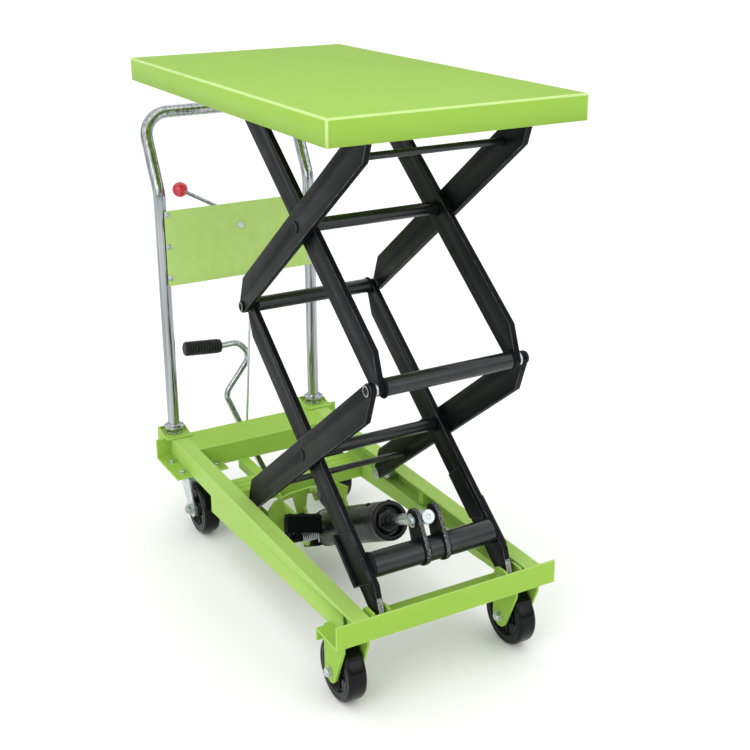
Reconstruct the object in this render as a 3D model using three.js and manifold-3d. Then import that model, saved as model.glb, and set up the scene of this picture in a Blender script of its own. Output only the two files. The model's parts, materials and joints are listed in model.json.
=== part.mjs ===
// Double-scissor hand lift table, standing on its wheels with the table part-raised.
// Millimetres, +Z up, +X to the right, +Y towards the push handle.
import * as THREE from "three";
import { mergeVertices } from "three/addons/utils/BufferGeometryUtils.js";
import Module from "manifold-3d";

const wasm = await Module();
wasm.setup();

// Driving dimensions
const GAP = 0.3; // between pieces that touch
const FIT = 0.3; // radial clearance of a pin in its hole
const SHEET = 4; // folded frame sheet

const TABLE_WIDTH = 500;
const TABLE_FRONT = -302;
const TABLE_BACK = 608;
const TABLE_TOP = 1100.5;
const TABLE_DEPTH = 46;
const TABLE_SHEET = 3;
const HANDLE_BACK = 763; // rearmost point of the push bar
const CENTRE_Y = (TABLE_FRONT + HANDLE_BACK) / 2;

const ARM_ANGLE = THREE.MathUtils.degToRad(40.4); // of the line through an arm's end pivots
const ARM_SPAN = 694.5; // between an arm's end pivots
const ARM_HALF_WIDTH = 29;
const ARM_PIVOT_OFFSET = 16; // end pivots lie off the arm's middle line
const ARM_TIP = ARM_HALF_WIDTH - ARM_PIVOT_OFFSET;
const ARM_CHAMFER = 47;
const ARM_THICKNESS = 12;
const INNER_ARM_X = 134; // inner face of the inner arms
const OUTER_ARM_X = 150; // inner face of the outer arms
const PIN_RADIUS = 10;
const PIN_HEAD = 13;
const PIN_HEAD_THICKNESS = 4;
const PEENED_HEAD = 11.5; // of the pins that join the two linkages' arms
const ROLLER_RADIUS = 18.5;
const ROLLER_X = 172;
const ROLLER_WIDTH = 24;

const FRONT_PIVOT_Y = -262;
const FRONT_PIVOT_Z = 178;

const RAIL_OUTER = 204;
const RAIL_INNER = 170;
const RAIL_TOP = 201;
const RAIL_SHELF = 159; // top of the flange that the lower rollers run on
const RAIL_FRONT = -276.7;
const RAIL_BACK = 641.7;
const RAIL_STEP_Y = 393; // the deep part of the rail ends here
const RAIL_DEEP_Z = 115.5;
const RAIL_SHALLOW_Z = 155;
const RAIL_FRONT_Z = 152;

const WHEEL_RADIUS = 62.5;
const WHEEL_WIDTH = 40;
const AXLE_RADIUS = 8;
const FRONT_WHEEL_X = 189;
const FRONT_WHEEL_Y = -209;
const CASTER_X = 174;
const CASTER_Y = 565;
const CASTER_TRAIL = 38;
const FORK_GAP = 22.5; // from a wheel's middle plane to the fork's inner face
const FORK_SHEET = 5;
const FORK_EYE = 22; // radius of a front fork's rounded tips

const POST_X = 187;
const POST_Y = 661;
const POST_RADIUS = 14;
const POST_FOOT_Z = 160;

const CYLINDER_SEAT = new THREE.Vector2(240, 92); // rear trunnion (y, z)
const CLEVIS = new THREE.Vector2(-186, 313.5); // rod end on the lower inner arms (y, z)
const CYLINDER_RADIUS = 40;
const PEDAL_AXIS = new THREE.Vector2(190, 114); // pedal shaft (y, z)
const LEVER_PIVOT = new THREE.Vector3(0, 655, 697);

// Pivot points of the folding linkage, as (y, z)
const reach = ARM_SPAN * Math.cos(ARM_ANGLE);
const rise = ARM_SPAN * Math.sin(ARM_ANGLE);
const pivot = {
  bottomFront: new THREE.Vector2(FRONT_PIVOT_Y, FRONT_PIVOT_Z),
  bottomBack: new THREE.Vector2(FRONT_PIVOT_Y + reach, FRONT_PIVOT_Z),
  lowerCentre: new THREE.Vector2(FRONT_PIVOT_Y + reach / 2, FRONT_PIVOT_Z + rise / 2),
  middleFront: new THREE.Vector2(FRONT_PIVOT_Y, FRONT_PIVOT_Z + rise),
  middleBack: new THREE.Vector2(FRONT_PIVOT_Y + reach, FRONT_PIVOT_Z + rise),
  upperCentre: new THREE.Vector2(FRONT_PIVOT_Y + reach / 2, FRONT_PIVOT_Z + 1.5 * rise),
  topFront: new THREE.Vector2(FRONT_PIVOT_Y, FRONT_PIVOT_Z + 2 * rise),
  topBack: new THREE.Vector2(FRONT_PIVOT_Y + reach, FRONT_PIVOT_Z + 2 * rise),
};

// Materials
const standard = (color, roughness, metalness) =>
  new THREE.MeshStandardMaterial({ color, roughness, metalness });
const greenPaint = () => standard(0xa4d255, 0.42, 0.0);
const blackPaint = () => standard(0x2a2c2e, 0.4, 0.1);
const chrome = () => standard(0xc9ccd0, 0.12, 1.0);
const zinc = () => standard(0xb4b9c0, 0.32, 0.9);
const blackRubber = () => standard(0x151617, 0.35, 0.0);
const redPlastic = () => standard(0xc8273a, 0.3, 0.0);

const model = new THREE.Group();
model.position.y = -CENTRE_Y;

function add(name, geometry, material, parent = model) {
  const mesh = new THREE.Mesh(geometry, material);
  mesh.name = name;
  parent.add(mesh);
  return mesh;
}

// Joining and cutting
function solid(geometry) {
  const bare = geometry.clone();
  bare.deleteAttribute("normal");
  bare.deleteAttribute("uv");
  const merged = mergeVertices(bare, 1e-4);
  const triVerts = merged.index.array;
  const vertProperties = merged.attributes.position.array;
  return new wasm.Manifold(
    new wasm.Mesh({ numProp: 3, vertProperties, triVerts: new Uint32Array(triVerts) }),
  );
}

function surface(manifold) {
  const mesh = manifold.getMesh();
  const geometry = new THREE.BufferGeometry();
  geometry.setAttribute("position", new THREE.BufferAttribute(new Float32Array(mesh.vertProperties), 3));
  geometry.setIndex(new THREE.BufferAttribute(new Uint32Array(mesh.triVerts), 1));
  return geometry;
}

const join = (first, ...others) =>
  surface(others.reduce((total, next) => total.add(solid(next)), solid(first)));
const cut = (first, ...others) =>
  surface(others.reduce((total, next) => total.subtract(solid(next)), solid(first)));

// Basic shapes
function box(x0, x1, y0, y1, z0, z1) {
  const geometry = new THREE.BoxGeometry(x1 - x0, y1 - y0, z1 - z0);
  return geometry.translate((x0 + x1) / 2, (y0 + y1) / 2, (z0 + z1) / 2);
}

// A closed outline, always run anticlockwise so that holes can be cut in it.
function ringShape(points) {
  return new THREE.Shape(THREE.ShapeUtils.isClockWise(points) ? [...points].reverse() : points);
}

const outline = (...points) => ringShape(points.map(([a, b]) => new THREE.Vector2(a, b)));

const axisX = new THREE.Vector3(1, 0, 0);
const axisY = new THREE.Vector3(0, 1, 0);
const axisZ = new THREE.Vector3(0, 0, 1);

// A shape drawn in (y, z), as thick as x0 to x1.
function extrudeX(shape, x0, x1, curveSegments = 7) {
  const geometry = new THREE.ExtrudeGeometry(shape, { depth: x1 - x0, bevelEnabled: false, curveSegments });
  geometry.applyMatrix4(new THREE.Matrix4().makeBasis(axisY, axisZ, axisX));
  return geometry.translate(x0, 0, 0);
}

// A shape drawn in (x, z), as deep as y0 to y1.
function extrudeY(shape, y0, y1, curveSegments = 7) {
  const geometry = new THREE.ExtrudeGeometry(shape, { depth: y1 - y0, bevelEnabled: false, curveSegments });
  geometry.applyMatrix4(new THREE.Matrix4().makeBasis(axisX, axisZ, axisY.clone().negate()));
  return geometry.translate(0, y1, 0);
}

function rodX(radius, x0, x1, y = 0, z = 0, sides = 16) {
  const geometry = new THREE.CylinderGeometry(radius, radius, x1 - x0, sides);
  geometry.rotateZ(-Math.PI / 2);
  return geometry.translate((x0 + x1) / 2, y, z);
}

function rodY(radius, y0, y1, x = 0, z = 0, sides = 20) {
  const geometry = new THREE.CylinderGeometry(radius, radius, y1 - y0, sides);
  return geometry.translate(x, (y0 + y1) / 2, z);
}

function rodZ(radius, z0, z1, x = 0, y = 0, sides = 20) {
  const geometry = new THREE.CylinderGeometry(radius, radius, z1 - z0, sides);
  geometry.rotateX(Math.PI / 2);
  return geometry.translate(x, y, (z0 + z1) / 2);
}

// A turned piece with its axis along X; the profile holds (radius, x) pairs and closes on the axis.
function turnX(profile, y = 0, z = 0, sides = 16) {
  const points = profile.map(([radius, x]) => new THREE.Vector2(radius, x));
  const geometry = new THREE.LatheGeometry(points, sides);
  geometry.rotateZ(-Math.PI / 2);
  return geometry.translate(0, y, z);
}

// A turned piece with its axis along Z; the profile holds (radius, z) pairs.
function turnZ(profile, x = 0, y = 0, sides = 20) {
  const points = profile.map(([radius, z]) => new THREE.Vector2(radius, z));
  const geometry = new THREE.LatheGeometry(points, sides);
  geometry.rotateX(Math.PI / 2);
  return geometry.translate(x, y, 0);
}

// A bar that runs through corner points, with a round bend at each inner corner.
class BarPath extends THREE.Curve {
  constructor(corners, bendRadius, bendSteps = 6) {
    super();
    const ends = [corners[0], corners[corners.length - 1]];
    this.stations = [ends[0]];
    for (let i = 1; i < corners.length - 1; i += 1) {
      this.stations.push(...bendStations(corners[i - 1], corners[i], corners[i + 1], bendRadius, bendSteps));
    }
    this.stations.push(ends[1]);
  }
  getPoint(t) {
    const place = Math.min(Math.max(t, 0), 1) * (this.stations.length - 1);
    const index = Math.min(Math.floor(place), this.stations.length - 2);
    return this.stations[index].clone().lerp(this.stations[index + 1], place - index);
  }
  getPointAt(u) {
    return this.getPoint(u);
  }
  getTangentAt(u) {
    return this.getTangent(u);
  }
}

function bendStations(before, corner, after, radius, steps) {
  const incoming = corner.clone().sub(before).normalize();
  const outgoing = after.clone().sub(corner).normalize();
  const turn = incoming.angleTo(outgoing);
  const setback = radius * Math.tan(turn / 2);
  const start = corner.clone().addScaledVector(incoming, -setback);
  const inward = outgoing.clone().addScaledVector(incoming, -Math.cos(turn)).normalize();
  const centre = start.clone().addScaledVector(inward, radius);
  const stations = [];
  for (let i = 0; i <= steps; i += 1) {
    const angle = (turn * i) / steps;
    stations.push(
      centre
        .clone()
        .addScaledVector(inward, -radius * Math.cos(angle))
        .addScaledVector(incoming, radius * Math.sin(angle)),
    );
  }
  return stations;
}

function bentBar(corners, radius, { bore = 0, bend = 3 * radius, bendSteps = 6, sides = 12 } = {}) {
  const path = new BarPath(corners.map(([x, y, z]) => new THREE.Vector3(x, y, z)), bend, bendSteps);
  const section = new THREE.Shape().absarc(0, 0, radius, 0, 2 * Math.PI, false);
  if (bore > 0) {
    section.holes.push(new THREE.Path().absarc(0, 0, bore, 0, 2 * Math.PI, true));
  }
  return new THREE.ExtrudeGeometry(section, {
    steps: path.stations.length - 1,
    extrudePath: path,
    curveSegments: sides,
  });
}

const hole = (y, z, radius) => new THREE.Path().absarc(y, z, radius, 0, 2 * Math.PI, true);
const sides = [
  ["left", -1],
  ["right", 1],
];
// A stretch of x on one side of the table, from its distances to the middle.
const span = (side, near, far) => (side < 0 ? [-far, -near] : [near, far]);

// Frame rails: a channel open towards the middle, on a tapering box
function rail(side) {
  const x = (distance) => side * distance;
  const floor = 100;
  const section = outline(
    [x(RAIL_OUTER), floor],
    [x(RAIL_OUTER), RAIL_TOP],
    [x(RAIL_INNER), RAIL_TOP],
    [x(RAIL_INNER), RAIL_TOP - SHEET],
    [x(RAIL_OUTER - SHEET), RAIL_TOP - SHEET],
    [x(RAIL_OUTER - SHEET), RAIL_SHELF],
    [x(RAIL_INNER), RAIL_SHELF],
    [x(RAIL_INNER), floor],
    [x(RAIL_INNER + SHEET), floor],
    [x(RAIL_INNER + SHEET), RAIL_SHELF - SHEET],
    [x(RAIL_OUTER - SHEET), RAIL_SHELF - SHEET],
    [x(RAIL_OUTER - SHEET), floor],
  );
  const below = outline(
    [-400, floor - 20],
    [-400, RAIL_FRONT_Z],
    [RAIL_FRONT, RAIL_FRONT_Z],
    [RAIL_STEP_Y, RAIL_DEEP_Z],
    [RAIL_STEP_Y, RAIL_SHALLOW_Z],
    [800, RAIL_SHALLOW_Z],
    [800, floor - 20],
  );
  const [x0, x1] = span(side, RAIL_INNER - 10, RAIL_OUTER + 10);
  const [shelf0, shelf1] = span(side, RAIL_INNER - 10, RAIL_OUTER - SHEET);
  return cut(
    extrudeY(section, RAIL_FRONT, RAIL_BACK),
    extrudeX(below, x0, x1),
    box(x0, x1, -300, FLANGE_BACK + GAP, floor, FLANGE_TOP + GAP),
    box(x0, x1, -300, FRONT_WHEEL_Y + FORK_EYE + 2, floor, FLANGE_TOP - SHEET),
    box(shelf0, shelf1, -300, FLANGE_BACK + GAP, floor, RAIL_SHELF + 1),
    rodX(5, ...span(side, RAIL_OUTER - SHEET - 1, RAIL_OUTER + 1), RAIL_FRONT, RAIL_TOP - 10, 12),
  );
}

// Front cross-member: an upright front plate, a flange and a turned-down lip
const FRONT_FACE = -281;
const FLANGE_TOP = 157;
const FLANGE_BACK = -198;
const LIP_BOTTOM = 131;
const FRONT_HALF_WIDTH = 239;
const FORK_HALF_WIDTH = FORK_GAP + FORK_SHEET;

function frontCrossMember() {
  const section = outline(
    [FRONT_FACE, FLANGE_TOP - SHEET],
    [FRONT_FACE, RAIL_TOP],
    [FRONT_FACE + SHEET, RAIL_TOP],
    [FRONT_FACE + SHEET, FLANGE_TOP],
    [FLANGE_BACK, FLANGE_TOP],
    [FLANGE_BACK, LIP_BOTTOM],
    [FLANGE_BACK - SHEET, LIP_BOTTOM],
    [FLANGE_BACK - SHEET, FLANGE_TOP - SHEET],
  );
  const notches = sides.map(([, side]) => {
    const [x0, x1] = span(side, FRONT_WHEEL_X - FORK_HALF_WIDTH - 1, FRONT_WHEEL_X + FORK_HALF_WIDTH + 1);
    return box(x0, x1, FLANGE_BACK - SHEET - 1, FLANGE_BACK + 1, LIP_BOTTOM - 1, FLANGE_TOP - SHEET);
  });
  return cut(extrudeX(section, -FRONT_HALF_WIDTH, FRONT_HALF_WIDTH), ...notches);
}

// Rear cross-member: a box open downwards, a wider back wall and the two caster decks
const REAR_FRONT = 541;
const REAR_BACK = 646;
const REAR_HALF_WIDTH = 240;
const DECK_TOP = RAIL_SHALLOW_Z - GAP;
const DECK_FRONT = 508;

function rearCrossMember() {
  const inside = RAIL_INNER - GAP;
  const wallFront = REAR_BACK - SHEET;
  const decks = sides.map(([, side]) => {
    const [x0, x1] = span(side, 112, REAR_HALF_WIDTH);
    return box(x0, x1, DECK_FRONT, REAR_BACK, DECK_TOP - SHEET, DECK_TOP);
  });
  return join(
    box(-inside, inside, REAR_FRONT, REAR_BACK, RAIL_TOP - SHEET, RAIL_TOP),
    box(-inside, inside, REAR_FRONT, REAR_FRONT + SHEET, DECK_TOP - SHEET, RAIL_TOP),
    box(-REAR_HALF_WIDTH, REAR_HALF_WIDTH, wallFront, REAR_BACK, DECK_TOP - SHEET, RAIL_TOP),
    ...decks,
  );
}

// Middle cross-member: a channel open downwards, with a brace back to the rear one
const MIDDLE_FRONT = 374;
const MIDDLE_BACK = 440;
const MIDDLE_TOP = 157;
const MIDDLE_BOTTOM = 120;

function middleCrossMember() {
  const inside = RAIL_INNER - GAP;
  const brace = outline([-74, 132], [-74, 156], [-50, 156], [-50, 152], [-70, 152], [-70, 132]);
  return join(
    box(-inside, inside, MIDDLE_FRONT, MIDDLE_BACK, MIDDLE_TOP - SHEET, MIDDLE_TOP),
    box(-inside, inside, MIDDLE_FRONT, MIDDLE_FRONT + SHEET, MIDDLE_BOTTOM, MIDDLE_TOP),
    box(-inside, inside, MIDDLE_BACK - SHEET, MIDDLE_BACK, MIDDLE_BOTTOM, MIDDLE_TOP),
    extrudeY(brace, MIDDLE_BACK - SHEET, REAR_FRONT - GAP),
  );
}

// Pump bracket: an arched plate with two cheeks back to the middle cross-member
const BRACKET_Y = 234;
const CHEEK_X = 46;
const TRUNNION_RADIUS = 7;
const TRUNNION_HOLE = 16; // wide, because this pivot of the closed linkage is left open

function pumpBracket() {
  const arch = outline(
    [-134, 112],
    [-134, 168],
    [-118, 188],
    [-84, 199],
    [-30, 202],
    [30, 199],
    [60, 180],
    [CHEEK_X + 6, 142],
    [CHEEK_X, 142],
    [40, 166],
    [-22, 166],
    [-30, 188],
    [-41, 188],
    [-CHEEK_X, 150],
    [-CHEEK_X - 6, 122],
    [-64, 122],
    [-67, 150],
    [-76, 189],
    [-100, 186],
    [-92, 150],
    [-100, 112],
  );
  const seat = CYLINDER_SEAT;
  const cheek = outline(
    [seat.x - 20, seat.y - 22],
    [seat.x - 26, seat.y - 8],
    [seat.x - 26, 136],
    [BRACKET_Y - 2, 160],
    [BRACKET_Y + 12, 160],
    [BRACKET_Y + 24, 120],
    [MIDDLE_FRONT - 24, 120],
    [MIDDLE_FRONT - GAP, 142],
    [MIDDLE_FRONT - GAP, MIDDLE_BOTTOM + 2],
    [seat.x + 60, seat.y - 26],
    [seat.x - 8, seat.y - 26],
  );
  cheek.holes.push(hole(seat.x - 2, seat.y - 3.7, TRUNNION_HOLE));
  const cheeks = sides.map(([, side]) => extrudeX(cheek, ...span(side, CHEEK_X, CHEEK_X + 6)));
  return join(extrudeY(arch, BRACKET_Y, BRACKET_Y + 6), ...cheeks);
}

// Front pivot bracket: a foot plate, two lugs and the pin through the lower inner arm
function pivotBracket(side) {
  const foot = FLANGE_TOP + GAP;
  const lug = new THREE.Shape();
  const { x: y, y: z } = pivot.bottomFront;
  lug.moveTo(RAIL_FRONT, foot);
  lug.lineTo(-222, foot);
  lug.lineTo(y + 22, z + 12);
  lug.absarc(y + 8, z + 12, 14, 0, Math.PI / 2, false);
  lug.lineTo(RAIL_FRONT, z + 26);
  const outerLug = extrudeX(lug, ...span(side, 158, 163), 6);
  const innerLug = extrudeX(lug, ...span(side, 125, 130), 6);
  const plate = box(...span(side, 118, 168), RAIL_FRONT, -222, foot, foot + 3);
  const pin = rodX(PIN_RADIUS, ...span(side, 116, 162), y, z);
  const nut = rodX(PIN_HEAD, ...span(side, 119, 126), y, z, 6);
  const head = rodX(PIN_HEAD, ...span(side, 162.5, 167), y, z, 6);
  return join(plate, outerLug, innerLug, pin, nut, head);
}

// Arms: flat bars whose end pivots lie towards opposite edges, with a chamfer at each far corner
const armReach = Math.sqrt((ARM_SPAN / 2) ** 2 - ARM_PIVOT_OFFSET ** 2);
const armTilt = Math.asin(ARM_PIVOT_OFFSET / (ARM_SPAN / 2));

function armShape(direction, pinHole = PIN_RADIUS + FIT) {
  const corner = new THREE.Vector2(armReach - ARM_CHAMFER, -ARM_HALF_WIDTH);
  const toCorner = corner.clone().sub(new THREE.Vector2(armReach, ARM_PIVOT_OFFSET));
  const tangent = toCorner.angle() + Math.acos(ARM_TIP / toCorner.length());
  const shape = new THREE.Shape();
  shape.moveTo(-armReach, -ARM_HALF_WIDTH);
  shape.lineTo(corner.x, corner.y);
  shape.absarc(armReach, ARM_PIVOT_OFFSET, ARM_TIP, tangent, 2.5 * Math.PI, false);
  shape.lineTo(-corner.x, -corner.y);
  shape.absarc(-armReach, -ARM_PIVOT_OFFSET, ARM_TIP, tangent - Math.PI, 1.5 * Math.PI, false);
  const points = shape.getPoints(4).map((p) => new THREE.Vector2(direction * p.x, p.y));
  const mirrored = ringShape(points);
  mirrored.holes.push(hole(0, 0, pinHole));
  mirrored.holes.push(hole(direction * armReach, ARM_PIVOT_OFFSET, pinHole));
  mirrored.holes.push(hole(-direction * armReach, -ARM_PIVOT_OFFSET, pinHole));
  return mirrored;
}

// A group at an arm's middle pivot, turned to the arm's rest angle.
function armFrame(centre, direction) {
  const frame = new THREE.Group();
  frame.position.set(0, centre.x, centre.y);
  frame.rotation.x = direction * (ARM_ANGLE - armTilt);
  model.add(frame);
  return frame;
}

// The doubling plates on a lower inner arm, and the flange along the outer one's lower edge
function stiffeners(side) {
  const inner = INNER_ARM_X;
  const outer = INNER_ARM_X + ARM_THICKNESS;
  const outerPlate = outline([-272, -28], [-293, 28], [-186, 28], [-165, -28]);
  const innerPlate = outline([-205, -28], [-228, 20], [-113, 20], [-104, -28]);
  const flange = outline([-272, -33], [-272, -25], [-165, -25], [-165, -33]);
  return [
    extrudeX(outerPlate, ...span(side, outer - 1, outer + 3)),
    extrudeX(innerPlate, ...span(side, inner - 3, inner + 1)),
    extrudeX(flange, ...span(side, outer - 3, outer + 10)),
  ];
}

function addArms(level, centre) {
  const inner = armFrame(centre, 1);
  const outer = armFrame(centre, -1);
  for (const [name, side] of sides) {
    const innerSpan = span(side, INNER_ARM_X, INNER_ARM_X + ARM_THICKNESS);
    const outerSpan = span(side, OUTER_ARM_X, OUTER_ARM_X + ARM_THICKNESS);
    const bar = extrudeX(armShape(1), ...innerSpan);
    const geometry = level === "lower" ? join(bar, ...stiffeners(side)) : bar;
    add(`${level}_inner_arm_${name}`, geometry, blackPaint(), inner);
    add(`${level}_outer_arm_${name}`, extrudeX(armShape(-1), ...outerSpan), blackPaint(), outer);
  }
}

// A cross tube between the inner arms, ending in pins through both arms on each side
function crossTube(radius, at, headThickness) {
  const shoulder = INNER_ARM_X - GAP;
  const collar = [INNER_ARM_X + ARM_THICKNESS + GAP, OUTER_ARM_X - GAP];
  const headStart = OUTER_ARM_X + ARM_THICKNESS + GAP;
  const half = [
    [radius, shoulder],
    [PIN_RADIUS, shoulder],
    [PIN_RADIUS, collar[0]],
    [PIN_HEAD, collar[0]],
    [PIN_HEAD, collar[1]],
    [PIN_RADIUS, collar[1]],
    [PIN_RADIUS, headStart],
    [PEENED_HEAD, headStart],
    [PEENED_HEAD - 0.6, headStart + headThickness],
    [0, headStart + headThickness],
  ];
  const mirrored = half.map(([r, x]) => [r, -x]).reverse();
  return turnX([...mirrored, ...half], at.x, at.y);
}

// A thin rod between the outer arms; u runs up along the arm and v across it, from its centre pivot.
function tieRod(centre, u, v) {
  const slope = ARM_ANGLE - armTilt;
  const y = centre.x - u * Math.cos(slope) + v * Math.sin(slope);
  const z = centre.y + u * Math.sin(slope) + v * Math.cos(slope);
  return rodX(6.5, -(OUTER_ARM_X - GAP), OUTER_ARM_X - GAP, y, z, 16);
}

// Lift tube between the lower inner arms, with the two lugs that the piston rod pushes on
const LIFT_TUBE = new THREE.Vector2(-212, 261);
const LIFT_TUBE_RADIUS = 24;
const LUG_X = 17; // inner face of a lug
const LUG_THICKNESS = 9;

function liftTube() {
  const shape = new THREE.Shape();
  const dir = CLEVIS.clone().sub(LIFT_TUBE);
  const angle = dir.angle();
  shape.absarc(CLEVIS.x, CLEVIS.y, 22, angle - Math.PI / 2, angle + Math.PI / 2, false);
  shape.absarc(LIFT_TUBE.x, LIFT_TUBE.y, 28, angle + Math.PI / 2, angle + 1.5 * Math.PI, false);
  shape.holes.push(hole(CLEVIS.x, CLEVIS.y, PIN_RADIUS + FIT));
  const lugs = sides.map(([, side]) => extrudeX(shape, ...span(side, LUG_X, LUG_X + LUG_THICKNESS), 8));
  const tubeEnd = INNER_ARM_X - GAP;
  return join(rodX(LIFT_TUBE_RADIUS, -tubeEnd, tubeEnd, LIFT_TUBE.x, LIFT_TUBE.y, 24), ...lugs);
}

const CLEVIS_PIN_END = LUG_X + LUG_THICKNESS + 7;
const clevisPin = () => rodX(PIN_RADIUS, -CLEVIS_PIN_END, CLEVIS_PIN_END, CLEVIS.x, CLEVIS.y);

// A roller with its stub axle through an outer or inner arm's end
function roller(side, at, armFace) {
  const profile = [
    [0, armFace - GAP - PIN_HEAD_THICKNESS],
    [PIN_HEAD, armFace - GAP - PIN_HEAD_THICKNESS],
    [PIN_HEAD, armFace - GAP],
    [PIN_RADIUS, armFace - GAP],
    [PIN_RADIUS, ROLLER_X - 3],
    [PIN_RADIUS + 3, ROLLER_X],
    [ROLLER_RADIUS - 1, ROLLER_X],
    [ROLLER_RADIUS, ROLLER_X + 1],
    [ROLLER_RADIUS, ROLLER_X + ROLLER_WIDTH - 1],
    [ROLLER_RADIUS - 1, ROLLER_X + ROLLER_WIDTH],
    [0, ROLLER_X + ROLLER_WIDTH],
  ];
  const geometry = turnX(profile, 0, 0, 20);
  if (side < 0) {
    geometry.rotateZ(Math.PI);
  }
  return geometry.translate(0, at.x, at.y);
}

// Table: a tray of folded sheet, and the channels that the upper linkage runs in
function tableDeck() {
  const half = TABLE_WIDTH / 2;
  const t = TABLE_SHEET;
  return cut(
    box(-half, half, TABLE_FRONT, TABLE_BACK, TABLE_TOP - TABLE_DEPTH, TABLE_TOP),
    box(-half + t, half - t, TABLE_FRONT + t, TABLE_BACK - t, TABLE_TOP - TABLE_DEPTH - 1, TABLE_TOP - t),
  );
}

const CHANNEL_TOP = TABLE_TOP - TABLE_SHEET - GAP;
const CHANNEL_SHELF = pivot.topFront.y - ROLLER_RADIUS - 0.6;

function tableChannel(side) {
  const x = (distance) => side * distance;
  const section = outline(
    [x(RAIL_OUTER), CHANNEL_SHELF - 3.5],
    [x(RAIL_OUTER), CHANNEL_TOP],
    [x(RAIL_OUTER - SHEET), CHANNEL_TOP],
    [x(RAIL_OUTER - SHEET), CHANNEL_SHELF],
    [x(RAIL_INNER), CHANNEL_SHELF],
    [x(RAIL_INNER), CHANNEL_SHELF - 3.5],
  );
  const { x: y, y: z } = pivot.topFront;
  const pin = rodX(PIN_RADIUS, ...span(side, OUTER_ARM_X - 6, RAIL_OUTER - 1), y, z);
  const head = rodX(PIN_HEAD, ...span(side, OUTER_ARM_X - 6, OUTER_ARM_X - GAP), y, z);
  const boss = rodX(PIN_HEAD + 3, ...span(side, OUTER_ARM_X + ARM_THICKNESS + GAP, RAIL_OUTER - 1), y, z);
  return join(extrudeY(section, -284, 480), pin, head, boss);
}

// Hydraulic cylinder and piston rod, built along +Y and turned to their slope
const cylinderAxis = CLEVIS.clone().sub(CYLINDER_SEAT);
const cylinderLength = cylinderAxis.length();
const BARREL_END = 336; // from the trunnion to the barrel's front rim
const ROD_RADIUS = 11;
const ROD_END_RADIUS = 14;

function alongCylinder(geometry) {
  const slope = Math.atan2(cylinderAxis.y, -cylinderAxis.x);
  return geometry
    .rotateX(-slope)
    .translate(0, CYLINDER_SEAT.x, CYLINDER_SEAT.y);
}

// A turned piece on the cylinder's axis; the profile holds (radius, distance from the trunnion).
function turnAlong(profile, facets = 24) {
  const points = profile.map(([radius, distance]) => new THREE.Vector2(radius, distance));
  const geometry = new THREE.LatheGeometry(points, facets);
  return geometry.rotateX(Math.PI);
}

function cylinder() {
  const bore = ROD_RADIUS + FIT;
  const body = turnAlong([
    [0, 20],
    [CYLINDER_RADIUS - 2, 20],
    [CYLINDER_RADIUS, 22],
    [CYLINDER_RADIUS, BARREL_END - 3],
    [CYLINDER_RADIUS - 3, BARREL_END],
    [31, BARREL_END],
    [29, BARREL_END - 16],
    [25, BARREL_END - 16],
    [25, BARREL_END - 6],
    [bore, BARREL_END - 6],
    [bore, 110],
    [0, 110],
  ]);
  const block = box(-36, 36, -52, 20, -34, 34);
  const trunnion = rodX(TRUNNION_RADIUS, -CHEEK_X - 8, CHEEK_X + 8);
  return alongCylinder(join(body, block, trunnion));
}

function pistonRod() {
  const end = cylinderLength;
  const rod = turnAlong(
    [
      [0, 205],
      [ROD_RADIUS, 205],
      [ROD_RADIUS, end - 18],
      [ROD_END_RADIUS, end - 18],
      [ROD_END_RADIUS, end + 15],
      [ROD_END_RADIUS - 1, end + 16],
      [0, end + 16],
    ],
    20,
  );
  const eye = rodX(PIN_RADIUS + FIT, -30, 30, -end, 0);
  return alongCylinder(cut(rod, eye));
}

// Pump block in front of the bracket, with its plunger and the pedal's return spring
const PLUNGER = { x: -90, z: PEDAL_AXIS.y + 30, front: PEDAL_AXIS.x + 3 + GAP };
const PLUNGER_RADIUS = 7;
const PUMP_LEFT = -126;
const PUMP_RIGHT = -45;
const PUMP_FRONT = 158;
const SHAFT_RADIUS = 5;
const PEDAL_HUB = 8.5;
const HUB_LEFT = -102;
const HUB_RIGHT = -43;
const SPRING_LEFT = -82;
const SPRING_RADIUS = 13;

function pumpBlock() {
  const { x, z } = PLUNGER;
  const cover = outline([PUMP_LEFT, 190], [PUMP_LEFT, 151], [PUMP_RIGHT, 131], [PUMP_RIGHT, 171]);
  const bore = rodY(PLUNGER_RADIUS + FIT, 202, 226, x, z);
  return cut(
    join(
      extrudeY(cover, PUMP_FRONT, PUMP_FRONT + 12),
      box(-64, -53, PUMP_FRONT + 10, BRACKET_Y - GAP, 135, 146),
      box(-109, -53, 203, 213, 136, 150),
      rodY(PLUNGER_RADIUS + 5, 203, 228, x, z),
      box(-109, -103, 180, 213, PEDAL_AXIS.y - 9, 150),
      rodX(SHAFT_RADIUS, -109, HUB_RIGHT + 1, PEDAL_AXIS.x, PEDAL_AXIS.y),
    ),
    bore,
  );
}

function pumpPlunger() {
  return rodY(PLUNGER_RADIUS, PLUNGER.front, 214, PLUNGER.x, PLUNGER.z, 16);
}

function returnSpring() {
  const { x: y, y: z } = PEDAL_AXIS;
  const bore = rodX(PEDAL_HUB + 0.6, SPRING_LEFT - 1, HUB_RIGHT + 1, y, z);
  return cut(rodX(SPRING_RADIUS, SPRING_LEFT, HUB_RIGHT, y, z), bore);
}

// Foot pedal: a hub with a tongue that pushes the plunger, a bar under the frame, and the grip
const PEDAL_BAR = 7.5;
const PEDAL_BEND = 30;
const pedalRoute = [
  [-92, PEDAL_AXIS.x + 4, PEDAL_AXIS.y - 2],
  [-92, 395, 98],
  [-20, 470, 104],
  [8, 676, 138],
  [-34, 704, 255],
  [38, 706, 345],
  [6, 706, 384],
  [-37, 705, 383.7],
  [-126, 705, 391.3],
];
const GRIP_FROM = [-41, 705, 384];
const GRIP_TO = [-134, 705, 392];

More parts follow.
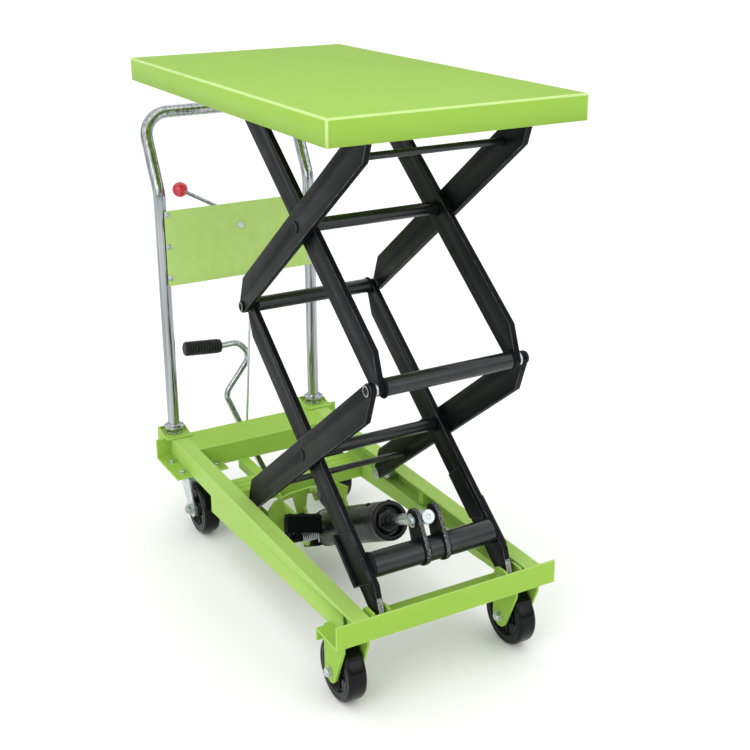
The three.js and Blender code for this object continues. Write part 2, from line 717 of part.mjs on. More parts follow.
function pedal() {
  const { x: y, y: z } = PEDAL_AXIS;
  const hub = rodX(PEDAL_HUB, HUB_LEFT, HUB_RIGHT, y, z, 20);
  const tongue = box(PLUNGER.x - 7, PLUNGER.x + 7, y - 6, y + 3, z, PLUNGER.z + 3);
  const bar = bentBar(pedalRoute, PEDAL_BAR, { bend: PEDAL_BEND, sides: 5, bendSteps: 4 });
  return cut(join(hub, tongue, bar), rodX(SHAFT_RADIUS + FIT, HUB_LEFT - 1, HUB_RIGHT + 1, y, z, 20));
}

function pedalGrip() {
  const from = new THREE.Vector3(...GRIP_FROM);
  const to = new THREE.Vector3(...GRIP_TO);
  const length = from.distanceTo(to);
  const profile = [
    [PEDAL_BAR + FIT, 0],
    [16, 0],
    [18, 3],
    [18, length - 3],
    [16, length],
    [0, length],
    [0, length - 5],
    [PEDAL_BAR + FIT, length - 5],
    [PEDAL_BAR + FIT, 0],
  ];
  const points = profile.map(([radius, distance]) => new THREE.Vector2(radius, distance));
  const geometry = new THREE.LatheGeometry(points, 18);
  const turn = new THREE.Quaternion().setFromUnitVectors(axisY, to.clone().sub(from).normalize());
  return geometry.applyQuaternion(turn).translate(...GRIP_FROM);
}

// Push handle: one bent tube, its collars, their brackets and the cross panel
const BAR_Z = 957;
const LEAN_Z = 790;

function handleTube() {
  const bar = [HANDLE_BACK - POST_RADIUS, BAR_Z];
  const corners = [
    [-POST_X, POST_Y, POST_FOOT_Z],
    [-POST_X, POST_Y, LEAN_Z],
    [-POST_X, ...bar],
    [POST_X, ...bar],
    [POST_X, POST_Y, LEAN_Z],
    [POST_X, POST_Y, POST_FOOT_Z],
  ];
  return bentBar(corners, POST_RADIUS, { bore: 12, bend: 62, bendSteps: 5, sides: 7 });
}

function postCollar(side) {
  const inner = POST_RADIUS + FIT;
  const bottom = SEAT_TOP + GAP;
  const profile = [
    [inner, bottom],
    [19, bottom],
    [19, bottom + 11],
    [23, bottom + 12],
    [23, bottom + 18],
    [18, bottom + 20],
    [16, bottom + 24],
    [inner, bottom + 24],
    [inner, bottom],
  ];
  return turnZ(profile, side * POST_X, POST_Y);
}

const SEAT_TOP = RAIL_TOP + GAP + SHEET;

function postBracket(side) {
  const x0 = side * POST_X - 32;
  const x1 = side * POST_X + 32;
  const back = 691;
  const wall = REAR_BACK + GAP;
  const foot = POST_FOOT_Z - GAP;
  const seat = RAIL_TOP + GAP;
  const cheek = outline(
    [wall, foot - SHEET],
    [back, foot - SHEET],
    [back, 213],
    [670, 213],
    [632, seat + 1],
    [632, seat],
    [wall, seat],
  );
  return cut(
    join(
      extrudeX(cheek, x0, x0 + SHEET),
      extrudeX(cheek, x1 - SHEET, x1),
      box(x0, x1, back - SHEET, back, foot - SHEET, 213),
      box(x0, x1, wall, back, foot - SHEET, foot),
      box(x0, x1, 622, back, seat, SEAT_TOP),
    ),
    rodZ(POST_RADIUS + FIT, foot + 1, SEAT_TOP + 1, side * POST_X, POST_Y),
  );
}

const PANEL_HALF_WIDTH = 184;
const PANEL_BACK = POST_Y - POST_RADIUS - GAP;
const PANEL_FRONT = PANEL_BACK - 2;

function handlePanel() {
  return join(
    box(-PANEL_HALF_WIDTH, PANEL_HALF_WIDTH, PANEL_FRONT, PANEL_BACK, 574, 751),
    leverPivot(),
  );
}

// The bolt that the release lever turns on, fixed in the panel
function leverPivot() {
  return rodY(5, PANEL_BACK - 4, PANEL_BACK + 18, LEVER_PIVOT.x, LEVER_PIVOT.z, 16);
}

// Release lever behind the panel, its knob and the pull rod down to the pump's valve
const KNOB = new THREE.Vector3(-139, LEVER_PIVOT.y, 794);
const KNOB_RADIUS = 17.5;
const LEVER_ARM = new THREE.Vector3(38, LEVER_PIVOT.y, 690);

function releaseLever() {
  const y = LEVER_PIVOT.y;
  const blade = outline(
    [-12, 730],
    [-18, 724],
    [-10, 690],
    [0, 684],
    [40, 682],
    [46, 690],
    [40, 698],
    [10, 704],
  );
  const plate = extrudeY(blade, y - 2, y + 2);
  const bar = bentBar(
    [
      [-8, y, 720],
      [-124, y, 785],
    ],
    4.5,
    { sides: 5 },
  );
  const bore = rodY(5 + FIT, y - 6, y + 6, LEVER_PIVOT.x, LEVER_PIVOT.z, 16);
  return cut(join(plate, bar), bore);
}

function releaseKnob() {
  const direction = new THREE.Vector3(116, 0, -65).normalize();
  const socket = new THREE.CylinderGeometry(4.5 + FIT, 4.5 + FIT, 24, 12);
  socket.applyQuaternion(new THREE.Quaternion().setFromUnitVectors(axisY, direction));
  const mouth = KNOB.clone().addScaledVector(direction, 18.5 + 2);
  socket.translate(mouth.x, mouth.y, mouth.z);
  const ball = new THREE.SphereGeometry(KNOB_RADIUS, 16, 10).translate(KNOB.x, KNOB.y, KNOB.z);
  return cut(ball, socket);
}

const pullRod = () =>
  bentBar(
    [
      [LEVER_ARM.x, LEVER_ARM.y + 2 + GAP + 3, LEVER_ARM.z + 4],
      [2, 662, 186],
      [0, 662, 150],
    ],
    3,
    { sides: 4, bend: 20, bendSteps: 3 },
  );

// Wheels, forks and casters
function wheel(x, y) {
  const half = WHEEL_WIDTH / 2;
  const r = WHEEL_RADIUS;
  const bore = AXLE_RADIUS + FIT;
  const profile = [
    [bore, -half],
    [22, -half],
    [24, -half + 8],
    [42, -half + 8],
    [46, -half + 1],
    [r - 5, -half + 1],
    [r, -half + 8],
    [r, half - 8],
    [r - 5, half - 1],
    [46, half - 1],
    [42, half - 8],
    [24, half - 8],
    [22, half],
    [bore, half],
    [bore, -half],
  ];
  return turnX(profile, y, WHEEL_RADIUS, 28).translate(x, 0, 0);
}

function axle(x, y) {
  const z = WHEEL_RADIUS;
  return join(
    rodX(AXLE_RADIUS, x - 38, x + 38, y, z, 20),
    rodX(11.5, x - 36, x - FORK_HALF_WIDTH - GAP, y, z, 6),
    rodX(11.5, x + FORK_HALF_WIDTH + GAP, x + 36, y, z, 6),
  );
}

function frontFork(side) {
  const x = side * FRONT_WHEEL_X;
  const y = FRONT_WHEEL_Y;
  const z = WHEEL_RADIUS;
  const top = FLANGE_TOP - SHEET - GAP;
  const eye = FORK_EYE;
  const leg = new THREE.Shape();
  const front = new THREE.Vector2(-262, 130);
  const toFront = front.clone().sub(new THREE.Vector2(y, z));
  const tangent = toFront.angle() + Math.acos(eye / toFront.length());
  leg.moveTo(-262, top);
  leg.lineTo(front.x, front.y);
  leg.absarc(y, z, eye, tangent, 2 * Math.PI, false);
  leg.lineTo(y + eye, top);
  leg.holes.push(hole(y, z, AXLE_RADIUS + FIT));
  return join(
    extrudeX(leg, x - FORK_HALF_WIDTH, x - FORK_GAP, 8),
    extrudeX(leg, x + FORK_GAP, x + FORK_HALF_WIDTH, 8),
    box(x - FORK_HALF_WIDTH, x + FORK_HALF_WIDTH, -262, y + eye, top - 4, top),
  );
}

const CASTER_DECK = DECK_TOP - SHEET - GAP;
const CROWN_TOP = CASTER_DECK - 4 - GAP;

function casterPlate(side) {
  const x = side * CASTER_X;
  return box(x - 52, x + 52, CASTER_Y - 46, CASTER_Y + 46, CASTER_DECK - 4, CASTER_DECK);
}

// The swivelling fork, built about its own upright axis and placed under the plate
function rearFork() {
  const y = -CASTER_TRAIL;
  const z = WHEEL_RADIUS;
  const bottom = 129;
  const eye = 20;
  const leg = new THREE.Shape();
  leg.moveTo(28, bottom + 5);
  leg.lineTo(-34, bottom + 5);
  leg.lineTo(-34, bottom - 6);
  leg.lineTo(y - eye, z);
  leg.absarc(y, z, eye, Math.PI, 2 * Math.PI - 0.6, false);
  leg.lineTo(28, bottom - 8);
  const inner = FORK_GAP + 2.5;
  const outer = inner + 4;
  return join(
    extrudeX(leg, -outer, -inner, 8),
    extrudeX(leg, inner, outer, 8),
    box(-outer, outer, -34, 28, bottom, bottom + 5),
    rodZ(30, bottom + 4, CROWN_TOP - 3, 0, 0, 20),
    rodZ(26, CROWN_TOP - 4, CROWN_TOP, 0, 0, 20),
    rodX(AXLE_RADIUS, -45, 45, y, z, 20),
    rodX(12.5, -41, -outer + 0.5, y, z, 6),
    rodX(12.5, outer - 0.5, 41, y, z, 6),
  );
}

// Assembly
add("front_crossmember", frontCrossMember(), greenPaint());
add("rear_crossmember", rearCrossMember(), greenPaint());
add("middle_crossmember", middleCrossMember(), greenPaint());
add("pump_bracket", pumpBracket(), greenPaint());
add("handle_tube", handleTube(), chrome());
add("handle_panel", handlePanel(), greenPaint());
add("pump_block", pumpBlock(), blackPaint());
add("pump_plunger", pumpPlunger(), zinc());
add("pedal_spring", returnSpring(), zinc());
add("pedal_lever", pedal(), chrome());
add("pedal_grip", pedalGrip(), blackRubber());
add("release_lever", releaseLever(), chrome());
add("release_knob", releaseKnob(), redPlastic());
add("release_pull_rod", pullRod(), zinc());
add("cylinder", cylinder(), blackPaint());
add("piston_rod", pistonRod(), chrome());
add("lift_tube", liftTube(), blackPaint());
add("clevis_pin", clevisPin(), zinc());
add("lower_centre_tube", crossTube(12.5, pivot.lowerCentre, 1.2), blackPaint());
add("upper_centre_tube", crossTube(12.5, pivot.upperCentre, 1.2), blackPaint());
add("middle_back_tube", crossTube(15, pivot.middleBack, 3), blackPaint());
add("middle_front_tube", crossTube(16, pivot.middleFront, 3), blackPaint());
add("lower_tie_rod", tieRod(pivot.lowerCentre, -184, -13), blackPaint());
add("upper_tie_rod", tieRod(pivot.upperCentre, 250, 6), blackPaint());
add("table_deck", tableDeck(), greenPaint());
addArms("lower", pivot.lowerCentre);
addArms("upper", pivot.upperCentre);

for (const [name, side] of sides) {
  const frontX = side * FRONT_WHEEL_X;
  const rearX = side * CASTER_X;
  add(`rail_${name}`, rail(side), greenPaint());
  add(`pivot_bracket_${name}`, pivotBracket(side), greenPaint());
  add(`post_bracket_${name}`, postBracket(side), greenPaint());
  add(`post_collar_${name}`, postCollar(side), chrome());
  add(`front_fork_${name}`, frontFork(side), greenPaint());
  add(`front_axle_${name}`, axle(frontX, FRONT_WHEEL_Y), zinc());
  add(`front_wheel_${name}`, wheel(frontX, FRONT_WHEEL_Y), blackRubber());
  add(`caster_plate_${name}`, casterPlate(side), zinc());
  add(`rear_fork_${name}`, rearFork(), zinc()).position.set(rearX, CASTER_Y, 0);
  add(`rear_wheel_${name}`, wheel(rearX, CASTER_Y - CASTER_TRAIL), blackRubber());
  add(`lower_roller_${name}`, roller(side, pivot.bottomBack, OUTER_ARM_X), zinc());
  add(`upper_roller_${name}`, roller(side, pivot.topBack, INNER_ARM_X), zinc());
  add(`table_channel_${name}`, tableChannel(side), greenPaint());
}

export default model;
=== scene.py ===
"""Looks of a mobile double-scissor lift table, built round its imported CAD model. Metres, +Z up."""

import json
import math
import random

import bmesh
import bpy
from mathutils import Matrix, Vector


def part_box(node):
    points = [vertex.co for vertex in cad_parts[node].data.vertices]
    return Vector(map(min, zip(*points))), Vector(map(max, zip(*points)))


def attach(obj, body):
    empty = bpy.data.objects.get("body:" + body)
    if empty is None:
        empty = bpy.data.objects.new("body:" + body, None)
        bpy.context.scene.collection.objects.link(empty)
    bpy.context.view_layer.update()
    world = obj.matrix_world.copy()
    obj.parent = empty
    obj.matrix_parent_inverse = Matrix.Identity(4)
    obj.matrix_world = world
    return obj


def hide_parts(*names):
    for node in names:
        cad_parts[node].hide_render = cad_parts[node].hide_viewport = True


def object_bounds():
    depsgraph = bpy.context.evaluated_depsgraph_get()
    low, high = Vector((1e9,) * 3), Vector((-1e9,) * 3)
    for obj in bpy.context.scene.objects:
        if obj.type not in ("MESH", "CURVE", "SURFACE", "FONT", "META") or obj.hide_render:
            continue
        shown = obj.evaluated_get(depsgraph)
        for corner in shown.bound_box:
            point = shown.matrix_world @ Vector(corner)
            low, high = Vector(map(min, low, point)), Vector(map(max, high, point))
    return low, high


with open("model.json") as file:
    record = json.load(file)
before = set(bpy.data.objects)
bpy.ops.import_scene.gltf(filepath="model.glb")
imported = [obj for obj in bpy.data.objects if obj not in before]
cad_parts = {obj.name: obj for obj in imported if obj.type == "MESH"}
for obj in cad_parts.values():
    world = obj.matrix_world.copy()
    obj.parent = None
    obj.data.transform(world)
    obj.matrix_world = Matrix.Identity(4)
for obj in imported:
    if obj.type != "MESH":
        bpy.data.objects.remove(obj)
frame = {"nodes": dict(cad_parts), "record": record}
cad_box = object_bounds()

MM = 0.001
X, Y, Z = Vector((1, 0, 0)), Vector((0, 1, 0)), Vector((0, 0, 1))
SIDES = (("left", -1), ("right", 1))
SIDE_NAME = {-1: "left", 1: "right"}
LEVELS = ("lower", "upper")
BEHAVIOUR = frame["record"]["behaviour"]
BODY_OF = {node: body for body, nodes in BEHAVIOUR["bodies"].items() for node in nodes}
JOINTS = {joint["name"]: joint for joint in BEHAVIOUR["joints"]}


def pivot(joint):
    """A joint's place at rest."""
    return Vector(JOINTS[joint]["pos_m"])


def extent(node):
    """A CAD sub-part's lowest corner, highest corner and middle."""
    low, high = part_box(node)
    return low, high, (low + high) / 2


# ---- materials


class Nodes:
    """A small helper to write a node tree."""

    def __init__(self, owner, coordinates):
        owner.use_nodes = True
        self.tree = owner.node_tree
        self.place = self.add("ShaderNodeTexCoord").outputs[coordinates]

    def add(self, kind, **settings):
        node = self.tree.nodes.new(kind)
        for key, value in settings.items():
            setattr(node, key, value)
        return node

    def link(self, output, target):
        self.tree.links.new(output, target)

    def noise(self, scale, detail=3.0, roughness=0.5, stretch=None):
        source = self.place
        if stretch:
            mapping = self.add("ShaderNodeMapping")
            mapping.inputs["Scale"].default_value = stretch
            self.link(self.place, mapping.inputs["Vector"])
            source = mapping.outputs["Vector"]
        node = self.add("ShaderNodeTexNoise")
        node.inputs["Scale"].default_value = scale
        node.inputs["Detail"].default_value = detail
        node.inputs["Roughness"].default_value = roughness
        self.link(source, node.inputs["Vector"])
        return node.outputs["Fac"]

    def spread(self, value, low, high, start=0.0, end=1.0):
        node = self.add("ShaderNodeMapRange")
        node.inputs["From Min"].default_value = low
        node.inputs["From Max"].default_value = high
        node.inputs["To Min"].default_value = start
        node.inputs["To Max"].default_value = end
        self.link(value, node.inputs["Value"])
        return node.outputs["Result"]

    def math(self, operation, first, second):
        node = self.add("ShaderNodeMath", operation=operation)
        for socket, value in zip(node.inputs, (first, second)):
            if isinstance(value, (int, float)):
                socket.default_value = value
            else:
                self.link(value, socket)
        return node.outputs["Value"]

    def mix(self, factor, first, second):
        node = self.add("ShaderNodeMix", data_type="RGBA")
        self.link(factor, node.inputs["Factor"])
        for socket, value in ((node.inputs[6], first), (node.inputs[7], second)):
            if isinstance(value, tuple):
                socket.default_value = (*value, 1)
            else:
                self.link(value, socket)
        return node.outputs[2]

    def ramp(self, value, stops):
        """Greys by position; each stop is a place and a brightness."""
        node = self.add("ShaderNodeValToRGB")
        for i, (where, bright) in enumerate(stops):
            stop = node.color_ramp.elements[i] if i < 2 else node.color_ramp.elements.new(where)
            stop.position = where
            stop.color = (bright, bright, bright, 1)
        self.link(value, node.inputs["Fac"])
        return node.outputs["Color"]


class Finish(Nodes):
    """The node tree of one material."""

    def __init__(self, name):
        self.material = bpy.data.materials.new(name)
        super().__init__(self.material, "Object")
        self.shader = self.tree.nodes["Principled BSDF"]

    def set(self, **values):
        for key, value in values.items():
            self.shader.inputs[key.replace("_", " ")].default_value = value

    def edges(self, radius):
        """1 on edges that are rounder than radius, 0 on flats."""
        bevel = self.add("ShaderNodeBevel", samples=4)
        bevel.inputs["Radius"].default_value = radius
        geometry = self.add("ShaderNodeNewGeometry")
        dot = self.add("ShaderNodeVectorMath", operation="DOT_PRODUCT")
        self.link(bevel.outputs["Normal"], dot.inputs[0])
        self.link(geometry.outputs["Normal"], dot.inputs[1])
        return self.spread(dot.outputs["Value"], 0.995, 0.86)

    def bump(self, height, strength, distance):
        node = self.add("ShaderNodeBump")
        node.inputs["Strength"].default_value = strength
        node.inputs["Distance"].default_value = distance
        self.link(height, node.inputs["Height"])
        self.link(node.outputs["Normal"], self.shader.inputs["Normal"])

    def colour(self, output):
        self.link(output, self.shader.inputs["Base Color"])

    def roughness(self, output):
        self.link(output, self.shader.inputs["Roughness"])


def linear(red, green, blue):
    """A screen colour, 0 to 255, as the shader's linear colour."""
    out = []
    for part in (red, green, blue):
        share = part / 255
        out.append(share / 12.92 if share <= 0.04045 else ((share + 0.055) / 1.055) ** 2.4)
    return tuple(out)


def green_powder_coat(name, lift):
    """Lime powder coat: soft orange peel, faint clouding; lift mixes in a pale yellow-green as a painted
    highlight and raises the IOR.
    """
    n = Finish(name)
    clouds = n.spread(n.noise(3.2, 3.0, 0.5), 0.3, 0.7)
    flecks = n.spread(n.noise(260, 2.0), 0.35, 0.75)
    base = n.mix(clouds, linear(147, 187, 74), linear(151, 190, 79))
    speckled = n.mix(n.math("MULTIPLY", flecks, 0.12), base, linear(168, 203, 100))
    # Painted highlight: a patchy mix toward pale yellow-green, as strong as lift.
    painted_highlight = n.spread(n.noise(55, 4.0), 0.3, 0.75, lift * 0.75, lift)
    n.colour(n.mix(painted_highlight, speckled, linear(226, 247, 178)))
    n.roughness(n.spread(n.noise(22, 3.0), 0.3, 0.7, 0.33, 0.42))
    n.bump(n.noise(420, 2.0), 0.12, 0.0004)
    n.set(IOR=1.13 + 0.3 * lift)
    return n.material


def black_paint(name, painted_sheen, gloss):
    """Satin black paint on bar and tube: fine peel, faint clouds; the second argument mixes in a patchy grey,
    a painted highlight, for the edge and tube copies.
    """
    n = Finish(name)
    clouds = n.spread(n.noise(6, 3.0, 0.5), 0.3, 0.7)
    base = n.mix(clouds, linear(12, 13, 15), linear(17, 18, 20))
    # Painted highlight: a patchy pale grey mixed in, as strong as the second argument.
    painted_grey_highlight = n.spread(n.noise(48, 5.0), 0.42, 0.7, painted_sheen * 0.25, painted_sheen)
    n.colour(n.mix(painted_grey_highlight, base, linear(120, 125, 130)))
    n.roughness(n.spread(n.noise(18, 3.0, 0.5), 0.3, 0.7, 0.36 - 0.4 * gloss, 0.46 - 0.4 * gloss))
    n.bump(n.noise(330, 3.0), 0.1, 0.0004)
    n.set(IOR=1.17 + gloss)
    return n.material


def chrome_plate(name, dark, light, rough):
    """Chrome over tube, its colour darkened and streaked along Z: painted reflections of a darker room; a
    trace of haze and polish marks.
    """
    n = Finish(name)
    # Painted reflection: long streaks along Z between the dark and light colours.
    streaks = n.spread(n.noise(230, 2.0, stretch=(1, 1, 0.012)), 0.38, 0.64)
    haze = n.spread(n.noise(14, 4.0), 0.3, 0.75)
    painted_reflection = n.mix(streaks, linear(*dark), linear(*light))
    n.colour(n.mix(n.math("MULTIPLY", haze, 0.3), painted_reflection, linear(150, 154, 158)))
    n.roughness(n.spread(n.noise(38, 5.0), 0.3, 0.75, rough, rough + 0.1))
    n.bump(n.noise(300, 2.0), 0.02, 0.0002)
    n.set(Metallic=1.0)
    return n.material


def mottled(name, dark, light, tint, polish, grain, **settings):
    """A finish in two shades; tint, polish and grain are the noises of colour, gloss and bump."""
    n = Finish(name)
    n.colour(n.mix(n.spread(n.noise(*tint[0]), *tint[1:]), linear(*dark), linear(*light)))
    n.roughness(n.spread(n.noise(*polish[0]), *polish[1:]))
    n.bump(n.noise(*grain[0]), *grain[1:])
    n.set(**settings)
    return n.material


def zinc_plate():
    """Bright zinc: blue-grey with a slight yellow bloom, and dull patches."""
    tint = ((28, 4.0, 0.6), 0.35, 0.7)
    polish = ((70, 4.0), 0.3, 0.7, 0.22, 0.42)
    grain = ((520, 3.0), 0.12, 0.0003)
    return mottled("zinc_plate", (186, 197, 203), (214, 219, 216), tint, polish, grain, Metallic=0.95)


def bare_steel(name, start, end):
    """Bare weld or cut steel: grey, pitted and dull, with paint left in the pits."""
    tint = ((420, 4.0, 0.7), start, end)
    polish = ((300, 3.0), 0.3, 0.7, 0.35, 0.7)
    grain = ((700, 4.0, 0.7), 0.8, 0.0006)
    return mottled(name, (52, 54, 56), (206, 207, 205), tint, polish, grain, Metallic=0.7)


def wheel_black():
    """Glossy black wheel: moulding clouds and fine scuffs on the tread."""
    tint = ((16, 4.0), 0.3, 0.7)
    polish = ((60, 5.0, 0.65), 0.35, 0.75, 0.08, 0.24)
    grain = ((260, 3.0), 0.08, 0.0005)
    return mottled("moulded_wheel", (6, 6, 8), (12, 13, 15), tint, polish, grain, IOR=1.27)


def grip_rubber():
    """Dull black rubber with dust in its pores."""
    tint = ((90, 4.0), 0.4, 0.8)
    polish = ((40, 3.0), 0.3, 0.7, 0.45, 0.68)
    grain = ((600, 3.0), 0.25, 0.0004)
    return mottled("grip_rubber", (34, 36, 37), (62, 65, 66), tint, polish, grain, IOR=1.3)


def red_plastic():
    """Shiny red plastic with faint swirls."""
    tint = ((60, 3.0), 0.3, 0.7)
    polish = ((120, 2.0), 0.3, 0.7, 0.16, 0.28)
    grain = ((300, 2.0), 0.03, 0.0003)
    shine = {"Coat_Weight": 0.5, "Coat_Roughness": 0.08}
    return mottled("red_plastic", (186, 22, 44), (205, 34, 56), tint, polish, grain, **shine)


def ram_paint():
    """Thicker gloss black on the ram, with a patchy grey painted highlight on its rounded edges."""
    n = Finish("ram_gloss_black")
    clouds = n.spread(n.noise(12, 4.0, 0.6), 0.3, 0.7)
    base = n.mix(clouds, linear(10, 10, 12), linear(17, 18, 20))
    # Painted highlight: pale grey where the edge mask and a noise meet.
    painted_grey_highlight = n.math("MULTIPLY", n.edges(0.0018), n.spread(n.noise(60, 4.0), 0.4, 0.75, 0.0, 0.4))
    n.colour(n.mix(painted_grey_highlight, base, linear(66, 69, 72)))
    n.roughness(n.spread(n.noise(24, 4.0), 0.3, 0.7, 0.2, 0.38))
    n.bump(n.noise(240, 2.0), 0.1, 0.0005)
    n.set(IOR=1.36, Coat_Weight=0.04, Coat_Roughness=0.1)
    return n.material


GREEN = green_powder_coat("green_powder_coat", 0.0)
# Paler copies of the green for folds and rounded edges: painted highlights.
GREEN_FOLD_PAINTED_HIGHLIGHT = green_powder_coat("green_fold_painted_highlight", 0.55)
GREEN_EDGE_PAINTED_HIGHLIGHT = green_powder_coat("green_edge_painted_highlight", 0.22)
# Paler copies of the same green for the panel and the rails: painted light.
GREEN_PANEL_PAINTED_LIGHT = green_powder_coat("green_panel_painted_light", 0.36)
GREEN_RAIL_PAINTED_LIGHT = green_powder_coat("green_rail_painted_light", 0.13)
BLACK = black_paint("black_satin_paint", 0.0, 0.0)
# A grey painted highlight for rounded edges.
BLACK_EDGE_PAINTED_HIGHLIGHT = black_paint("black_edge_painted_highlight", 0.42, 0.1)
# A lit copy for the tubes: more gloss and a faint grey painted highlight.
BLACK_TUBE = black_paint("black_tube_paint", 0.05, 0.32)
PUMP_BLACK = black_paint("pump_black_paint", 0.0, -0.08)
RAM_BLACK = ram_paint()
# These chrome colours are darker than bare chrome: a painted reflection of a darker room.
CHROME = chrome_plate("chrome_plate", (134, 138, 141), (184, 188, 190), 0.06)
ROD_CHROME = chrome_plate("rod_chrome", (196, 202, 206), (232, 235, 236), 0.2)
ZINC = zinc_plate()
WELD = bare_steel("weld_metal", 0.35, 0.68)
CUT_STEEL = bare_steel("cut_steel", 0.48, 0.82)
WHEEL = wheel_black()
GRIP = grip_rubber()
RED = red_plastic()

# ---- mesh helpers


def place(obj, material, body, stands_for=()):
    """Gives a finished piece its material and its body."""
    if not obj.data.materials:
        obj.data.materials.append(material)
    obj.data.materials[0] = material
    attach(obj, body)
    if stands_for:
        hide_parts(*stands_for)
    return obj


def new_object(name, mesh):
    obj = bpy.data.objects.new(name, mesh)
    bpy.context.collection.objects.link(obj)
    return obj


def object_from(bm, name, smooth_angle=32):
    bmesh.ops.recalc_face_normals(bm, faces=bm.faces)
    mesh = bpy.data.meshes.new(name)
    bm.to_mesh(mesh)
    bm.free()
    mesh.shade_smooth()
    mesh.set_sharp_from_angle(angle=math.radians(smooth_angle))
    return new_object(name, mesh)


# Each paint's paler copy for rounded edges: a painted highlight.
EDGE_OF = {GREEN.name: GREEN_EDGE_PAINTED_HIGHLIGHT, BLACK.name: BLACK_EDGE_PAINTED_HIGHLIGHT}


def soften(obj, width, segments=2, angle=40, edge=-1):
    """Rounds an object's hard edges with real faces, in the edge material if one is given; that material is a
    painted highlight.
    """
    bevel = obj.modifiers.new("edges", "BEVEL")
    bevel.material = edge
    bevel.width = width
    bevel.segments = segments
    bevel.limit_method = "ANGLE"
    bevel.angle_limit = math.radians(angle)
    bevel.use_clamp_overlap = True
    weighted = obj.modifiers.new("shading", "WEIGHTED_NORMAL")
    weighted.keep_sharp = False
    return apply_modifiers(obj)


def apply_modifiers(obj):
    graph = bpy.context.evaluated_depsgraph_get()
    mesh = bpy.data.meshes.new_from_object(obj.evaluated_get(graph))
    mesh.name = obj.name
    obj.modifiers.clear()
    obj.data = mesh
    return obj


def refined(node, material, width=0.001, segments=2, angle=40, edge=None):
    """A CAD sub-part with clean faces and rounded edges; green or black parts get a painted highlight on
    those edges.
    """
    bm = bmesh.new()
    bm.from_mesh(frame["nodes"][node].data)
    bmesh.ops.remove_doubles(bm, verts=bm.verts, dist=0.00001)
    bmesh.ops.dissolve_limit(bm, angle_limit=math.radians(0.5), verts=bm.verts, edges=bm.edges)
    obj = object_from(bm, "fine_" + node)
    edge = edge or EDGE_OF.get(material.name)
    if edge:
        obj.data.materials.append(material)
        obj.data.materials.append(edge)
    soften(obj, width, segments, angle, 1 if edge else -1)
    return place(obj, material, BODY_OF[node], (node,))


def turned(name, profile, centre, axis, material, body, stands_for=(), segments=64):
    """A turned piece. The profile holds (radius, distance along the axis) pairs in millimetres."""
    bm = bmesh.new()
    across = axis.orthogonal().normalized()
    rings = []
    for radius, distance in profile:
        here = centre + axis * distance * MM
        if radius <= 0:
            rings.append([bm.verts.new(here)])
            continue
        ring = []
        for i in range(segments):
            spoke = Matrix.Rotation(2 * math.pi * i / segments, 3, axis) @ across
            ring.append(bm.verts.new(here + spoke * radius * MM))
        rings.append(ring)
    skin(bm, rings)
    return place(object_from(bm, name), material, body, stands_for)


def skin(bm, rings, caps=False):
    """Faces between rings of corners, where a ring of one is a point, and across both ends."""
    for first, second in zip(rings, rings[1:]):
        count = max(len(first), len(second))
        for i in range(count):
            j = (i + 1) % count
            corners = [first[i % len(first)], first[j % len(first)]]
            corners += [second[j % len(second)], second[i % len(second)]]
            corners = list(dict.fromkeys(corners))
            if len(corners) > 2:
                bm.faces.new(corners)
    if caps:
        bm.faces.new(rings[0])
        bm.faces.new(rings[-1])


def solid_rod(radius, start, end):
    """The profile of a plain round bar."""
    return [(0, start), (radius, start), (radius, end), (0, end)]


def flat_ring(inner, outer, start, end):
    """The profile of a plain ring."""
    return [(inner, start), (outer, start), (outer, end), (inner, end), (inner, start)]


def rounded(profile, radius=1.0, steps=3):
    """A profile in millimetres with each inner corner rounded."""
    out = [profile[0]]
    for before, corner, after in zip(profile, profile[1:], profile[2:]):
        a, b, c = Vector(before), Vector(corner), Vector(after)
        cut = min(radius, (a - b).length * 0.45, (c - b).length * 0.45)
        start = b + (a - b).normalized() * cut
        end = b + (c - b).normalized() * cut
        for i in range(steps + 1):
            t = i / steps
            out.append(tuple(start * (1 - t) ** 2 + b * 2 * t * (1 - t) + end * t * t))
    out.append(profile[-1])
    return out


def bar_route(corners, bend, steps=10):
    """Points of a bar through corner points, with a round bend at each inner corner."""
    out = [corners[0]]
    for before, corner, after in zip(corners, corners[1:], corners[2:]):
        incoming = (corner - before).normalized()
        outgoing = (after - corner).normalized()
        turn = incoming.angle(outgoing)
        start = corner - incoming * bend * math.tan(turn / 2)
        inward = (outgoing - incoming * math.cos(turn)).normalized()
        centre = start + inward * bend
        for i in range(steps + 1):
            angle = turn * i / steps
            out.append(centre - inward * bend * math.cos(angle) + incoming * bend * math.sin(angle))
    out.append(corners[-1])
    return out


def swept(name, route, radius, material, body, stands_for=(), sides=24, radii=None):
    """A round bar along a route, closed at both ends."""
    bm = bmesh.new()
    rings = []
    across = None
    for i, here in enumerate(route):
        ahead = route[min(i + 1, len(route) - 1)] - route[max(i - 1, 0)]
        ahead.normalize()
        if across is None:
            across = ahead.orthogonal().normalized()
        across = (across - ahead * across.dot(ahead)).normalized()
        other = ahead.cross(across)
        size = radii[i] if radii else radius
        ring = []
        for k in range(sides):
            turn = 2 * math.pi * k / sides
            ring.append(bm.verts.new(here + (across * math.cos(turn) + other * math.sin(turn)) * size))
        rings.append(ring)
    skin(bm, rings, caps=True)
    return place(object_from(bm, name, 50), material, body, stands_for)


